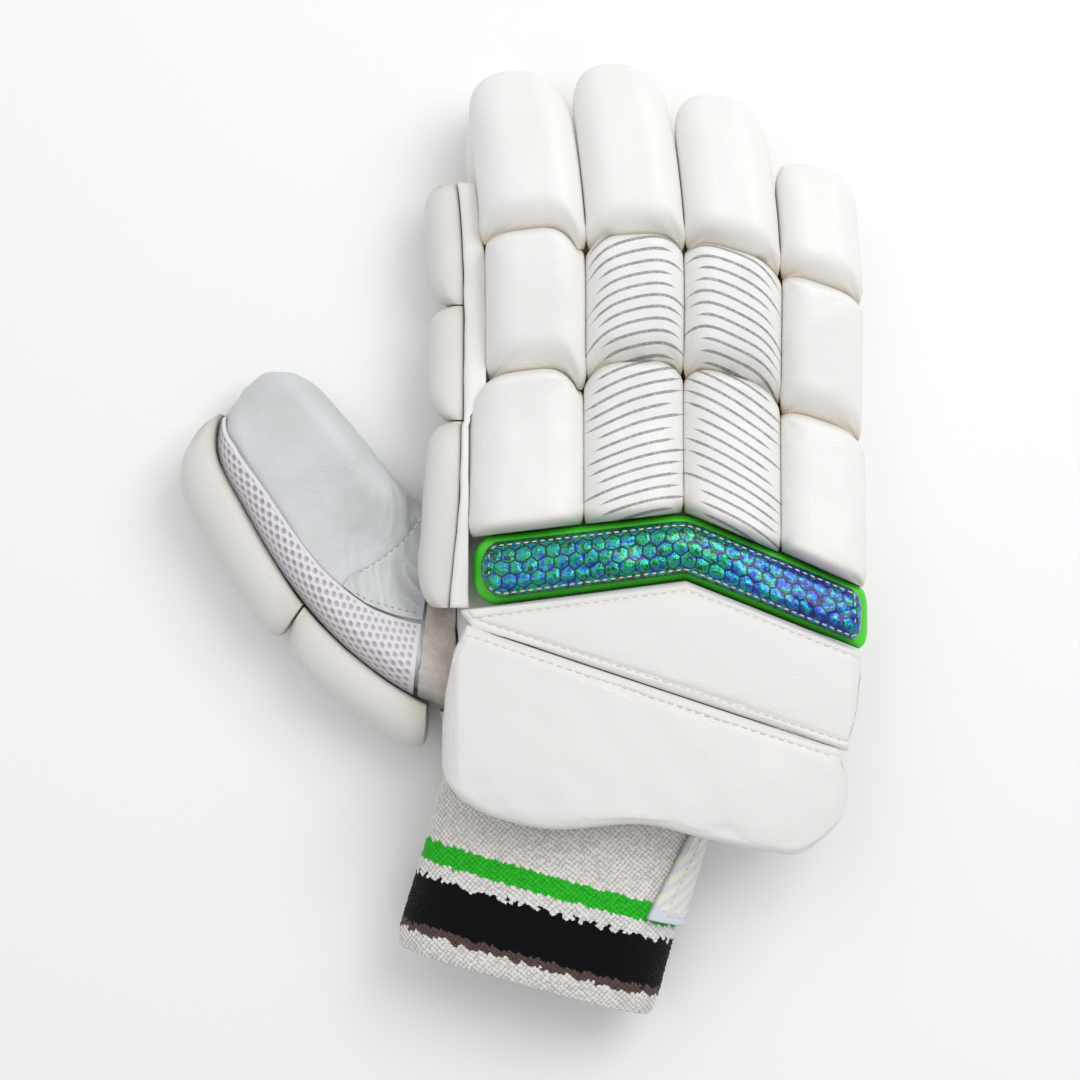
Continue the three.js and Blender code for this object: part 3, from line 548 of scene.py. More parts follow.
def foil():
    """Scales are the cells of two crossed lattices, half a step apart: a point belongs to the nearer
    centre, the groove is where both are as near, and each scale is domed and crackled."""
    made = Finish("foil", roughness=0.24, metallic=0.7, coat_weight=0.55, coat_roughness=0.06)
    across, along = made.surface()
    wander = made.noise(240.0, 2.0) - 0.5
    x, y = across / scale_wide + wander * 0.5, along / scale_tall + wander * 0.22
    near, middle = [], []
    for shift in (0.0, 0.5):
        u, v = x + shift, y + shift
        u, v = u - u.math("FLOOR", u) - 0.5, v - v.math("FLOOR", v) - 0.5
        near.append(u * u + v * v * 3.0)
        middle.append(u)
    first = near[0].math("LESS_THAN", near[0], near[1])
    offset = middle[0] * first + middle[1] * (1.0 - first)
    between = (near[0] - near[1]).math("ABSOLUTE", near[0] - near[1])
    beside = (0.5 - offset.math("ABSOLUTE", offset)) * 2.0
    edge = between.math("MINIMUM", between, beside)
    dome = 1.0 - near[0].math("MINIMUM", near[0], near[1]) * 2.4
    crackle = made.noise(430.0, 3.0, 0.6)
    drift = made.noise(24.0, 2.0)
    hue = drift * 0.8 + (crackle - 0.5) * 1.5 + dome * 0.16 + 0.12 - across.step(0.0, 75.0) * 0.26
    stops = [(0.0, paint("080B30")), (0.26, paint("1840B0")), (0.4, paint("0A72AC")), (0.52, paint("0D9C94")),
             (0.64, paint("0FA04E")), (0.76, paint("053528")), (1.0, paint("342AA4"))]
    colour = made.node("ShaderNodeValToRGB", {"stops": stops}, {0: hue})
    groove = 1.0 - edge.step(0.015, 0.11)
    made.set("Base Color", made.mix(groove * 0.85, colour, paint("1E1A70")))
    made.set("Roughness", 0.1 + crackle * 0.14)
    made.bump(dome * 0.5 + edge.step(0.0, 0.14) * 0.6 + crackle * 0.6, 0.0011, 0.9)
    return made.material


shiny_foil = foil()
print("foil:", shiny_foil.name)

# %% [markdown]
# The cuff is knitted towelling whose stripes are made of coloured yarn, so each loop has one colour.
# The shape writes that to an attribute, and a ramp with hard steps reads it. The mesh's holes come
# from the shape too. Felt and thread are noise, and the strap's film has stripes on its own map.

# %% Knit, mesh, felt, strap film and thread
def knit():
    """Stripes by the distance from the wrist seam; each loop of the knit has one colour, with painted shade
    in the gaps between loops.
    """
    made = Finish("knit", roughness=0.95, sheen_weight=0.12, specular_ior_level=0.15)
    loops, share = made.attribute("loop"), made.attribute("stripe")
    bands = [(0.0, "F1EFEB"), (36.0, "30C52D"), (43.3, "F1F0EE"), (48.6, "050609"), (65.6, "5F4E4C"),
             (68.4, "EFEDE9")]
    stops = [(place / cuff_length, paint(code)) for place, code in bands]
    colour = made.node("ShaderNodeValToRGB", {"stops": stops}, {0: share})
    colour.socket.node.color_ramp.interpolation = "CONSTANT"
    # Painted shade in the low gaps between the loops.
    gap_shade = 1.0 - loops.step(0.02, 0.5)
    fuzz = made.noise(1900.0, 3.0)
    shade = {"data_type": "RGBA", "blend_type": "MULTIPLY"}
    colour = made.node("ShaderNodeMix", shade, {0: gap_shade * 0.6, 6: colour, 7: paint("857E76")}, out=2)
    made.set("Base Color", colour)
    made.set("Roughness", 0.86 + fuzz * 0.12)
    made.bump(fuzz, 0.0005, 0.7)
    return made.material


def spacer_mesh():
    """Pale mesh with painted shade down its holes."""
    made = Finish("spacer_mesh", roughness=0.8, sheen_weight=0.3)
    hole = made.attribute("fold")
    made.set("Base Color", made.mix(hole.step(0.2, 1.0), paint("E9E6EA"), paint("BDB6BF")))
    made.set("Roughness", 0.72 + hole * 0.2)
    made.bump(made.noise(2100.0, 2.0), 0.0003, 0.7)
    return made.material


def felt():
    """Brushed fibres: clouds give the tone and fine noise gives the nap."""
    made = Finish("felt", roughness=0.97, sheen_weight=0.5)
    cloud = made.noise(130.0, 4.0, 0.7)
    made.set("Base Color", made.mix(cloud.step(0.25, 0.8), paint("E6DED8"), paint("C6BAB1")))
    made.set("Roughness", 0.9 + cloud * 0.08)
    made.bump(made.noise(900.0, 5.0, 0.75), 0.0009, 0.9)
    return made.material


film_stripe, film_border, film_bead = 4.6, 3.6, 0.8


def strap_film():
    """Pale diagonal stripes inside a border, with a darker bead round the edge."""
    made = Finish("strap_film", roughness=0.35)
    across, along = made.surface()
    slope = (across * 0.8 + along * 0.6) / film_stripe
    stripe = (slope - slope.math("FLOOR", slope)).step(0.38, 0.5)
    half = strap_width / 2
    side = (along - half).math("ABSOLUTE", along - half)
    inner = 1.0 - side.step(half - film_border - 0.6, half - film_border)
    colour = made.mix(stripe * inner, paint("D9DDE8"), paint("ECE9DC"))
    rim = side.step(half - film_bead - 0.6, half - film_bead)
    made.set("Base Color", made.mix(rim * 0.5, colour, paint("C9CDD8")))
    grain = made.noise(900.0, 2.0)
    made.set("Roughness", 0.28 + grain * 0.12)
    made.bump(grain + stripe * inner * 1.5, 0.0002, 0.6)
    return made.material


def thread(name, code):
    """Twisted thread: one fine noise mixes two tones and gives the relief."""
    made = Finish(name, roughness=0.7, sheen_weight=0.3)
    twist = made.noise(1500.0, 1.0)
    made.set("Base Color", made.mix(twist, paint(code), paint("C9BFAE")))
    made.bump(twist, 0.0002, 0.5)
    return made.material


knitted, meshed, felted, filmed = knit(), spacer_mesh(), felt(), strap_film()
cream_thread, white_thread = thread("cream_thread", "E9DFC4"), thread("white_thread", "EFEDE8")
grey_thread = thread("grey_thread", "A9ABAA")
print("finishes made:", len(bpy.data.materials))

# %% [markdown]
# A surface becomes a mesh in one helper: a grid of points whose rows are rings is joined into
# quads, its ends are closed, and the faces are turned outward by the sign of the volume. The map
# named surface keeps millimetres across and along, so that a pattern has its real size.

# %% From grids to meshes
def ring_faces(rings, count, endless=False):
    """Quads between each ring of a closed section and the next."""
    i = np.arange(rings if endless else rings - 1)[:, None]
    j = np.arange(count)[None, :]
    here, there = i * count, ((i + 1) % rings) * count
    after = (j + 1) % count
    return np.stack([here + j, here + after, there + after, there + j], axis=-1).reshape(-1, 4)


def cap_faces(first, count, hub, back):
    """Triangles between one ring and a hub point, turned round at the far end."""
    j = np.arange(count)
    faces = np.stack([np.full(count, hub), first + (j + 1) % count, first + j], axis=-1)
    return faces[:, ::-1] if back else faces


def volume_of(points, quads):
    """The volume inside quads: a sixth of their triangles' triple products, summed."""
    a, b, c, d = (points[quads[:, k]] for k in range(4))
    return float((np.cross(a, b) * c).sum() + (np.cross(a, c) * d).sum()) / 6


def put(name, points, faces, surface, finish, slot, node=None, **values):
    """One object at the origin from points in millimetres, its faces, its map and its attributes."""
    mesh = bpy.data.meshes.new(name)
    mesh.from_pydata((points * MM).tolist(), [], [f.tolist() for part in faces for f in part])
    corners = np.concatenate([part.reshape(-1) for part in faces])
    layer = mesh.uv_layers.new(name="surface")
    layer.data.foreach_set("uv", surface[corners].astype(np.float32).ravel())
    for key, value in values.items():
        mesh.attributes.new(key, "FLOAT", "POINT").data.foreach_set("value", value.astype(np.float32).ravel())
    mesh.polygons.foreach_set("use_smooth", np.ones(len(mesh.polygons), bool))
    mesh.materials.append(finish)
    piece = bpy.data.objects.new(name, mesh)
    bpy.context.collection.objects.link(piece)
    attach(piece, "root")
    if node:
        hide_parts(node)
    return piece


def ringed(name, grid, surface, finish, slot, node=None, endless=False, **values):
    """A closed body through rings of points, with a hub at each end, or an endless ring of rings."""
    rings, count = grid.shape[:2]
    points, flat_map = grid.reshape(-1, 3), surface.reshape(-1, 2)
    quads = ring_faces(rings, count, endless)
    parts = [quads]
    values = {key: value.reshape(-1) for key, value in values.items()}
    if not endless:
        last = (rings - 1) * count
        points = np.concatenate([points, grid[0].mean(0)[None], grid[-1].mean(0)[None]])
        flat_map = np.concatenate([flat_map, flat_map[:count].mean(0)[None], flat_map[last:].mean(0)[None]])
        parts += [cap_faces(0, count, rings * count, False), cap_faces(last, count, rings * count + 1, True)]
        values = {key: np.concatenate([v, v[:1], v[-1:]]) for key, v in values.items()}
    if volume_of(points, quads) < 0:
        parts = [part[:, ::-1] for part in parts]
    return put(name, points, parts, flat_map, finish, slot, node, **values)


def slab(name, under, over, across, along, finish, slot, node, **values):
    """A thick sheet: each ring runs along the underside and back over the outside."""
    grid = np.concatenate([under, over[:, ::-1]], axis=1)
    both = lambda field: np.concatenate([field, field[:, ::-1]], axis=1)
    surface = np.stack([both(across), both(along)], axis=-1)
    return ringed(name, grid, surface, finish, slot, node, **{key: both(v) for key, v in values.items()})


print("helpers for rings and slabs are ready")

# %% [markdown]
# The finger rolls are foam sausages in leather, three on each finger. At its lower end a roll
# falls gently to the seam; at its upper end it stands up crisply, and the seams bow towards the
# fingertips. The leather is gathered at the corners, where short pleats fan out.

# %% The padded rolls
seam_bow, tip_bulge = 5.5, 1.5
tip_straight, tip_rounded = 0.66, 0.34
roll_names = list(fingers)


def bowed_seam(finger, share, x):
    """A line across the finger, tilted, whose corners drop by a power of the distance from the middle."""
    across = x - finger["middle"] * finger_pitch
    s = np.clip(np.abs(across) / (finger_pitch / 2), 0, 1.15)
    return palm_ahead + share * finger_length + finger["tilt"] * across + seam_bow * (0.3 - s ** 4)


def pleats(across, along, half, seed):
    """Short creases that fan out from the two corners of an end, deepest at the corner."""
    rng = np.random.default_rng(seed)
    dent = 0
    for hand in (-1, 1):
        reach = np.hypot(across - hand * half, along)
        angle = np.arctan2(along, hand * (hand * half - across) + 1e-6)
        folds = 0.5 + 0.5 * np.cos(angle * rng.integers(6, 9) + rng.uniform(0, 6))
        dent = dent + np.exp(-reach / rng.uniform(3.5, 6.0)) * (0.4 + 1.7 * folds ** 1.6)
    return dent


def roll_grid(name, part, seed):
    """Rings along a roll: each is the roll's section, scaled by how full it is there."""
    finger, i = fingers[name], roll_names.index(name)
    left, right = (roll_edges[part][i + k] * finger_pitch - k * clearance for k in (0, 1))
    side, up = way_round(roll_shape, ways_of(roll_shape, 2, 10, 20))
    at = crowd(54, 0.75)[:, None]
    middle, half = (left + right) / 2, (right - left) / 2
    tip = palm_ahead + finger["reach"] * finger_length + roll_overhang + tip_bulge
    if part == "tip":
        t = np.clip((at - tip_straight) / tip_rounded, 0, 1)
        round_off = (1 - t ** 2.4) ** (1 / 2.4)
        wide = (1.005 - 0.02 * at) * np.maximum(round_off, 0.02)
        low, full = 0.34 * (1 - round_off), 0.42 + 0.58 * (1 - t ** 2.6) ** 0.5
        hook = finger["hook"] * (1 - wide)
    else:
        wide, low, full, hook = 1.012 + 0 * at, 0 * at, 1 + 0 * at, finger["hook"] * 0.01
    flat_x = middle + (side * wide - hook) * half
    low_seam, high_seam = (bowed_seam(finger, finger[share], flat_x) for share in ("low", "high"))
    start, end = {"base": (band_edge("upper", flat_x) + clearance, low_seam - clearance),
                  "mid": (low_seam, high_seam - clearance),
                  "tip": (high_seam, tip)}[part]
    y = lerp(start, end, at)
    below, above = at * (end - start), (1 - at) * (end - start)
    gentle, crisp = (5.0, 0.3) if part == "base" else (12.0, 0.42), (3.6, 0.36)
    drop = gentle[1] * np.clip(1 - below / gentle[0], 0, 1) ** 2.3
    pinch = 0.055 * np.exp(-below / 2.2)
    if part != "tip":
        drop = drop + crisp[1] * np.clip(1 - above / crisp[0], 0, 1) ** 2.4
        pinch = pinch + 0.05 * np.exp(-above / 2.0)
    flare = (0.03 if part == "tip" else 0.012) * np.exp(-((below - 5.5) / 3.0) ** 2)
    x = middle + (flat_x - middle) * (1 - pinch + flare) + finger_bend(y)
    top = back_height(x, y) + finger_lift(finger, y) + clearance
    height = low + up * (full * (1 - drop) - low)
    points = xyz(x, y, top + height * roll_height)
    across, along = side * half * wide, below
    dent = pleats(across, below, half, seed)
    if part != "tip":
        dent = dent + 0.8 * pleats(across, above, half, seed + 50)
    lumps = waves(points, 24.0, seed) * 0.5 + waves(points, 8.0, seed + 9) * 0.08
    points[..., 2] += ease(up, 0.5, 0.95) * (lumps - 1.4 * dent)
    # Painted shade: cream at the roll's lower end, down its flanks, in the corner pleats and at the crisp
    # upper seam.
    fold = 0.5 * np.exp(-below / 5.0) + 0.8 * ease(1 - up, 0.2, 0.6) + 0.16 * dent
    fold = fold + (0 if part == "tip" else 0.5 * np.exp(-above / 1.6))
    return points, np.stack([across + 0 * along, along + 0 * across], -1), np.clip(fold, 0, 1)


padded_pieces = []
for number, finger_name in enumerate(fingers):
    for order, part in enumerate(("base", "mid", "tip")):
        cover = white if part == "tip" else lined_white.get(finger_name, white)
        points, surface, fold = roll_grid(finger_name, part, 11 * number + 3 * order + 1)
        node = f"{finger_name}_{part}_roll"
        padded_pieces.append(ringed(f"{node}_cover", points, surface, cover, "leather", node, fold=fold))
print("rolls:", len(padded_pieces))

# %% [markdown]
# Under the rolls are the finger sleeves: leather pockets with a hollow for the finger. The inner
# rings run from the tip back to the mouth and the outer ones from the mouth to the tip.

# %% Finger sleeves
sleeve_start = -0.013


def sleeve_grid(finger, seed):
    """Rings of a pocket, from the inner tip back to the mouth and on to the outer tip."""
    side, up = way_round(sleeve_shape, ways_of(sleeve_shape, 3, 8, 10))
    at = lerp(sleeve_start, 1, crowd(46, 0.6))[:, None]
    outer, inner = sleeve_point(finger, at, side, up, 0.0), sleeve_point(finger, at, side, up, -leather_wall)
    lumps = waves(outer, 16.0, seed) * 0.35 + waves(outer, 6.0, seed + 1) * 0.12
    outer[..., 2] -= np.abs(lumps) * ease(up, 0.0, 0.2) * ease(1 - up, 0.0, 0.2)
    outer[..., 0] -= side * np.abs(lumps) * 0.8
    grid = np.concatenate([inner[::-1], outer])
    along = np.broadcast_to(at * finger_length, outer.shape[:2])
    across = np.broadcast_to(side * finger_pitch / 2, outer.shape[:2])
    surface = np.stack([np.concatenate([across[::-1], across]), np.concatenate([along[::-1], along])], -1)
    return grid, surface


for number, (finger_name, finger) in enumerate(fingers.items()):
    points, surface = sleeve_grid(finger, 200 + number)
    ringed(f"{finger_name}_sleeve_cover", points, surface, white, "leather", f"{finger_name}_sleeve")
print("sleeves:", len(fingers))

# %% [markdown]
# The bar beside the index finger is a flat strip with three foam pads on it. The strip is a slab
# with soft edges, and each pad is a section that bulges out by a power curve along its length.

# %% The padded side bar
side_half, side_pleat_half = 15, 14


def side_strip_layers():
    """The strip's under and outer layers, with a flap that reaches over to the rolls."""
    at, side = np.linspace(0, 1, 90)[:, None], np.linspace(-1, 1, 14)[None, :]
    under, over = side_point(at, side, clearance), side_point(at, side, clearance + side_strip_thickness)
    over[..., 0] -= waves(over, 14.0, 300) * 0.25
    over[..., 0] += ease(-side, 0.86, 1.0) * 0.9
    fold_over = np.linspace(0, 1, 8)[None, 1:]
    y = under[:, -1:, 1]
    roll_ends = [78, 87, 136, 144]
    edges = [roll_edges[part][0] for part in ("base", "mid", "mid", "tip")]
    rolls_start = np.interp(y, roll_ends, edges) * finger_pitch + finger_bend(y)
    reach = np.maximum(rolls_start - 0.3 - under[:, -1:, 0], 0.4)
    crest = under[:, -1:, 2] + 0.9 * np.sin(math.pi / 2 * np.clip(fold_over * 3, 0, 1))
    crest = crest + waves(under[:, -1:], 16.0, 301) * 0.3
    flap_over = xyz(over[:, -1:, 0] + fold_over * (reach + side_strip_thickness), y, crest)
    flap_under = xyz(under[:, -1:, 0] + fold_over * reach, y, crest - 1.6)
    side = np.concatenate([side, 1 + fold_over * 0.3], axis=1)
    under, over = np.concatenate([under, flap_under], axis=1), np.concatenate([over, flap_over], axis=1)
    return under, over, side * side_half + 0 * at, at * side_length + 0 * side


under, over, across, along = side_strip_layers()
slab("side_strip_cover", under, over, across, along, white, "leather", "side_strip")


def side_pad_grid(start, end, seed):
    """A section that rises along its length and falls again, by two power curves."""
    side, up = way_round(side_pad_shape, ways_of(side_pad_shape, 2, 9, 16))
    along = crowd(50, 0.8)[:, None]
    high = 0.4 + 0.6 * (1 - (1 - np.clip(along / 0.34, 0, 1)) ** 2.6) ** 0.6
    high = high * (0.42 + 0.58 * (1 - np.clip((along - 0.5) / 0.5, 0, 1) ** 4.5) ** 0.6)
    at = lerp(start, end, along)
    seat = side_strip_thickness + 2 * clearance
    across = side * side_pad_share * (0.93 + 0.07 * high)
    points = side_point(at, across, seat + up * high * side_pad_thickness)
    length = (end - start) * side_length
    across = side * side_half
    dent = (pleats(across, along * length, side_pleat_half, seed)
            + pleats(across, (1 - along) * length, side_pleat_half, seed + 1))
    points[..., 0] += ease(up, 0.3, 0.9) * (0.6 * dent + waves(points, 20.0, seed) * 0.45)
    surface = np.stack([across + 0 * along, along * length + 0 * side], -1)
    # Painted shade where the pad falls at its ends and down its flanks.
    fold = 0.7 * ease(1 - high, 0.1, 0.5) + 0.5 * ease(1 - up, 0.4, 1.0)
    return points, surface, np.clip(fold, 0, 1)


for order, (part, start, end) in enumerate((("base", 0, 0.437), ("mid", 0.441, 0.71), ("tip", 0.714, 1))):
    points, surface, fold = side_pad_grid(start, end, 320 + 5 * order)
    node = f"side_pad_{part}"
    padded_pieces.append(ringed(f"{node}_cover", points, surface, shaded_white, "leather", node, fold=fold))
print("pads so far:", len(padded_pieces))

# %% [markdown]
# The chevron over the knuckles is a foil cushion on a green rubber-like edging. Both are sections
# across the hand, one for each place along the band, cut back at the corners.

# %% The knuckle band and the wrist blocks
def across_grid(at, upper, lower, thick, shape, base, height, rounds=(3, 8, 24), crown=0.0):
    """Sections from the upper to the lower edge, standing on the back of the hand."""
    side, up = way_round(shape, ways_of(shape, *rounds))
    x = at[:, None] * palm_width
    y = lerp(upper[:, None], lower[:, None], (side + 1) / 2)
    swell = 1 + crown * (1 - side ** 2)
    return xyz(x, y, back_height(x, y) + base + up * swell * thick[:, None] * height), side, up


def cut_edges(table, at, upper, lower, margin):
    """Two edges whose corners are cut back by shares of the depth, drawn in by a margin."""
    depth = upper - lower
    return (upper - read(table, "upper", at, True) * depth - margin,
            lower + read(table, "lower", at, True) * depth + margin)


def rounded_ends(at, start, end, reach):
    """How thick a pad is towards its two ends: a quarter circle over reach."""
    near = np.clip(np.minimum(at - start, end - at) / reach, 0, 1)
    return np.sqrt(1 - (1 - near) ** 2)


def chevron(table, margin, shape, base, height, count):
    """A band from end to end of the table, bent like the knuckle line and thinner at its ends."""
    at = lerp(table["at"][0], table["at"][-1], crowd(count, 0.5))
    x = at * palm_width
    upper, lower = cut_edges(table, at, band_edge("upper", x), band_edge("lower", x), margin)
    thick = 0.45 + 0.55 * rounded_ends(at, at[0], at[-1], 0.03)
    points, side, up = across_grid(at, upper, lower, thick, shape, base, height)
    middle = (upper + lower)[:, None] / 2
    surface = np.stack([x[:, None] + 0 * side, points[..., 1] - middle], -1)
    return points, surface, side, up


points, surface, side, up = chevron(band_ends, 0.0, band_shape, clearance, binding_height, 150)
# Painted shade down the binding's lower sides.
fold = np.clip(0.8 * ease(0.8 - up, 0, 0.8) + 0 * points[..., 0], 0, 1)
ringed("binding_cover", points, surface, green, "green_binding", "knuckle_binding", fold=fold)
band_reach = palm_width * (band_ends["at"][-1] - band_ends["at"][0])
shrink = 1 - 2 * binding_margin / band_reach
middle_at = (band_ends["at"][0] + band_ends["at"][-1]) / 2
panel_ends = dict(band_ends, at=[middle_at + (a - middle_at) * shrink for a in band_ends["at"]])
points, surface, side, up = chevron(panel_ends, binding_margin - 0.6, dome_shape,
                                    binding_height + 2 * clearance, panel_height, 220)
points[..., 2] += ease(up, 0.5, 1.0) * (waves(points, 13.0, 401) * 0.35 + waves(points, 5.0, 402) * 0.12)
panel = ringed("panel_cover", points, surface, shiny_foil, "foil", "knuckle_panel")
panel_grid, panel_side = points, side
padded_pieces.append(panel)
print("band", round(band_reach), "mm long")

# %% [markdown]
# The two wrist blocks are flat foam under leather, sewn a few millimetres in from their edges. A
# bump would not catch the light as the real seam does, so the groove is sunk into the grid itself.

# %% The two wrist blocks
stitch_in = 3.2


def grooved(points, side, depth_of, up, where):
    """Sinks a narrow groove at these distances in millimetres from the upper or lower edge."""
    for hand, inset in where:
        away = (1 - hand * side) / 2 * depth_of[:, None] - inset
        points[..., 2] -= 0.55 * np.exp(-(away / 0.8) ** 2) * ease(up, 0.7, 1.0)


def block_grid(at, upper, lower, thick, height, seed, seams):
    """Crowned sections across the hand, with broad lumps and narrow sewn grooves."""
    points, side, up = across_grid(at, upper, lower, thick, block_shape, clearance, height, (4, 9, 44), 0.045)
    depth_of = upper - lower
    lumps = waves(points, 55.0, seed) * 0.7 + waves(points, 17.0, seed + 1) * 0.22
    points[..., 2] += ease(up, 0.3, 1.0) * lumps
    grooved(points, side, depth_of, up, seams)
    # Painted shade down the blocks' sides.
    fold = np.clip(0.75 * ease(1 - up, 0.1, 0.5) + 0 * points[..., 0], 0, 1)
    surface = np.stack([points[..., 0], points[..., 1]], -1)
    return points, surface, fold, side


at = lerp(upper_ends["at"][0], upper_ends["at"][-1], crowd(190, 0.6))
x = at * palm_width
upper, lower = cut_edges(upper_ends, at, band_edge("lower", x) - clearance, block_seam(x), 0.0)
thick = 0.5 + 0.5 * rounded_ends(at, at[0], at[-1], 0.035)
points, surface, fold, upper_side = block_grid(at, upper, lower, thick, upper_block_height, 420,
                                               [(-1, stitch_in), (1, stitch_in)])
upper_grid = points
upper_block = ringed("wrist_block_upper_cover", points, surface, shaded_flat_white, "leather", "wrist_block_upper",
                     fold=fold)
at = lerp(lower_block["at"][0], lower_block["at"][-1], crowd(190, 0.6))
x = at * palm_width
upper = np.minimum(read(lower_block, "upper", at, True) * palm_behind, block_seam(x) - clearance)
lower = read(lower_block, "lower", at) * palm_behind
thick = 0.5 + 0.5 * rounded_ends(at, at[0], at[-1], 0.05)
points, surface, fold, lower_side = block_grid(at, upper, lower, thick, lower_block_height, 440,
                                               [(-1, stitch_in)])
lower_grid = points
lower_pad = ringed("wrist_block_lower_cover", points, surface, shaded_flat_white, "leather", "wrist_block_lower",
                   fold=fold)
padded_pieces += [upper_block, lower_pad]
print("blocks made; pads so far:", len(padded_pieces))

# %% [markdown]
# The thumb and the hand shell are cut by other pieces, and a formula would have to repeat those
# cuts. So their solids' own meshes are taken as copies, remeshed into small even squares and
# smoothed like soft leather. Dents and creases are then pushed along the normals as sums of waves.

# %% The hand shell and the thumb
def soft_copy(node, name, voxel, rounds, finish):
    """A merged copy of a solid's mesh in even squares of one voxel, smoothed some rounds."""
    made = bmesh.new()
    made.from_mesh(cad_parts[node].data)
    bmesh.ops.remove_doubles(made, verts=made.verts, dist=1e-6)
    mesh = bpy.data.meshes.new(name)
    made.to_mesh(mesh)
    made.free()
    piece = bpy.data.objects.new(name, mesh)
    bpy.context.collection.objects.link(piece)
    remesh = piece.modifiers.new("even squares", "REMESH")
    remesh.mode, remesh.voxel_size = "VOXEL", voxel * MM
    smooth = piece.modifiers.new("soft edges", "SMOOTH")
    smooth.factor, smooth.iterations = 0.5, rounds
    shaped = bpy.data.meshes.new_from_object(piece.evaluated_get(bpy.context.evaluated_depsgraph_get()))
    piece.modifiers.clear()
    piece.data = shaped
    shaped.name = name
    shaped.polygons.foreach_set("use_smooth", np.ones(len(shaped.polygons), bool))
    shaped.materials.clear()
    shaped.materials.append(finish)
    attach(piece, "root")
    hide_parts(node)
    return piece


def points_of(mesh):
    """A mesh's points in millimetres."""
    flat = np.empty(len(mesh.vertices) * 3, np.float32)
    mesh.vertices.foreach_get("co", flat)
    return flat.reshape(-1, 3).astype(float) / MM


def normals_of(mesh):
    """The unit normals at a mesh's points."""
    flat = np.empty(len(mesh.vertices) * 3, np.float32)
    mesh.vertex_normals.foreach_get("vector", flat)
    return flat.reshape(-1, 3).astype(float)


def push(piece, depth, **values):
    """Moves every point along its normal by depth, a function of the points in millimetres."""
    mesh = piece.data
    places = points_of(mesh)
    moved = places + normals_of(mesh) * depth(places)[:, None]
    mesh.vertices.foreach_set("co", (moved * MM).astype(np.float32).ravel())
    for key, value in values.items():
        field = value(places).astype(np.float32)
        mesh.attributes.new(key, "FLOAT", "POINT").data.foreach_set("value", field)
    mesh.update()


palm = soft_copy("palm_shell", "palm_cover", 1.5, 4, white)
push(palm, lambda p: waves(p, 20.0, 500) * 0.3)


def thumb_dents(p):
    """Broad soft dents, and fine creases that gather where the thumb joins the web."""
    web_x, web_y, wide, long = -88, 42, 22, 20
    near_web = np.exp(-(((p[:, 0] - web_x) / wide) ** 2 + ((p[:, 1] - web_y) / long) ** 2))
    creases = np.abs(waves(p * [1.0, 0.35, 1.0], 7.0, 511)) * 0.9
    return waves(p, 26.0, 510) * 0.75 + waves(p, 10.0, 512) * 0.16 - near_web * creases


thumb = soft_copy("thumb_sleeve", "thumb_cover", 1.0, 6, grey)
# On the thumb this value is random darker clouds of tone, not painted shade.
push(thumb, thumb_dents, fold=lambda p: np.clip(0.5 + waves(p, 30.0, 513), 0, 1) * 0.5)
print("palm", len(palm.data.polygons), "and thumb", len(thumb.data.polygons), "squares")

# %% [markdown]
# Two thick pads guard the thumb's outer side and stand on edge there. They could be bent into place
# by a modifier, but the thumb's own formula already carries any section along its middle line.

# %% The thumb's two pads
thumb_pad_spans = {"base": (0.04, 0.345), "tip": (0.352, 0.95)}
thumb_pad_half, thumb_pleat_half = 14, 13


def thumb_pad_grid(start, end, seed):
    """A section that stands on edge outside the thumb, full in the middle and rounded at its ends."""
    side, up = way_round(side_pad_shape, ways_of(side_pad_shape, 2, 9, 18))
    along = crowd(64, 0.8)[:, None]
    high = 0.78 + 0.24 * (1 - (1 - np.clip(along / 0.14, 0, 1)) ** 2.6) ** 0.5
    high = high * (0.58 + 0.42 * (1 - np.clip((along - 0.3) / 0.7, 0, 1) ** 4.2) ** 0.6)
    at = lerp(start, end, along)
    points = thumb_point(at, -1.0, 0.0, pad_standoff + up * high * thumb_pad_thickness)
    squeeze = 1 - 0.05 * np.exp(-along / 0.05) - 0.05 * np.exp(-(1 - along) / 0.05)
    points[..., 2] = thumb_pad_height * (side * squeeze + 1) / 2
    length = (end - start) * thumb_length
    across = side * thumb_pad_half
    dent = (pleats(across, along * length, thumb_pleat_half, seed)
            + pleats(across, (1 - along) * length, thumb_pleat_half, seed + 1))
    soft = ease(up, 0.2, 0.9) * (waves(points, 22.0, seed) * 0.6 - 0.5 * dent)
    points += soft[..., None] * np.array([-0.75, -0.3, 0.45])
    # Painted shade at the pad's two ends and down its flanks.
    fold = 0.8 * np.exp(-along * length / 4.0) + 0.8 * np.exp(-(1 - along) * length / 3.0)
    fold = fold + 0.5 * ease(1 - up, 0.5, 1)
    return points, np.stack([across + 0 * along, along * length + 0 * side], -1), np.clip(fold, 0, 1)


for order, (part, (start, end)) in enumerate(thumb_pad_spans.items()):
    points, surface, fold = thumb_pad_grid(start, end, 530 + 4 * order)
    node = f"thumb_pad_{part}"
    padded_pieces.append(ringed(f"{node}_cover", points, surface, shaded_white, "leather", node, fold=fold))
print("pads in all:", len(padded_pieces))

# %% [markdown]
# Foam presses its cover out. A rough copy of each padded piece, in even squares, is blown up as
# cloth under pressure for twenty frames. Each fine point then moves outward, along its normal, as
# far as the nearest rough points went that way and by no more than a set limit. Its own pleats and
# seams stay, which a coarse remesh would lose.

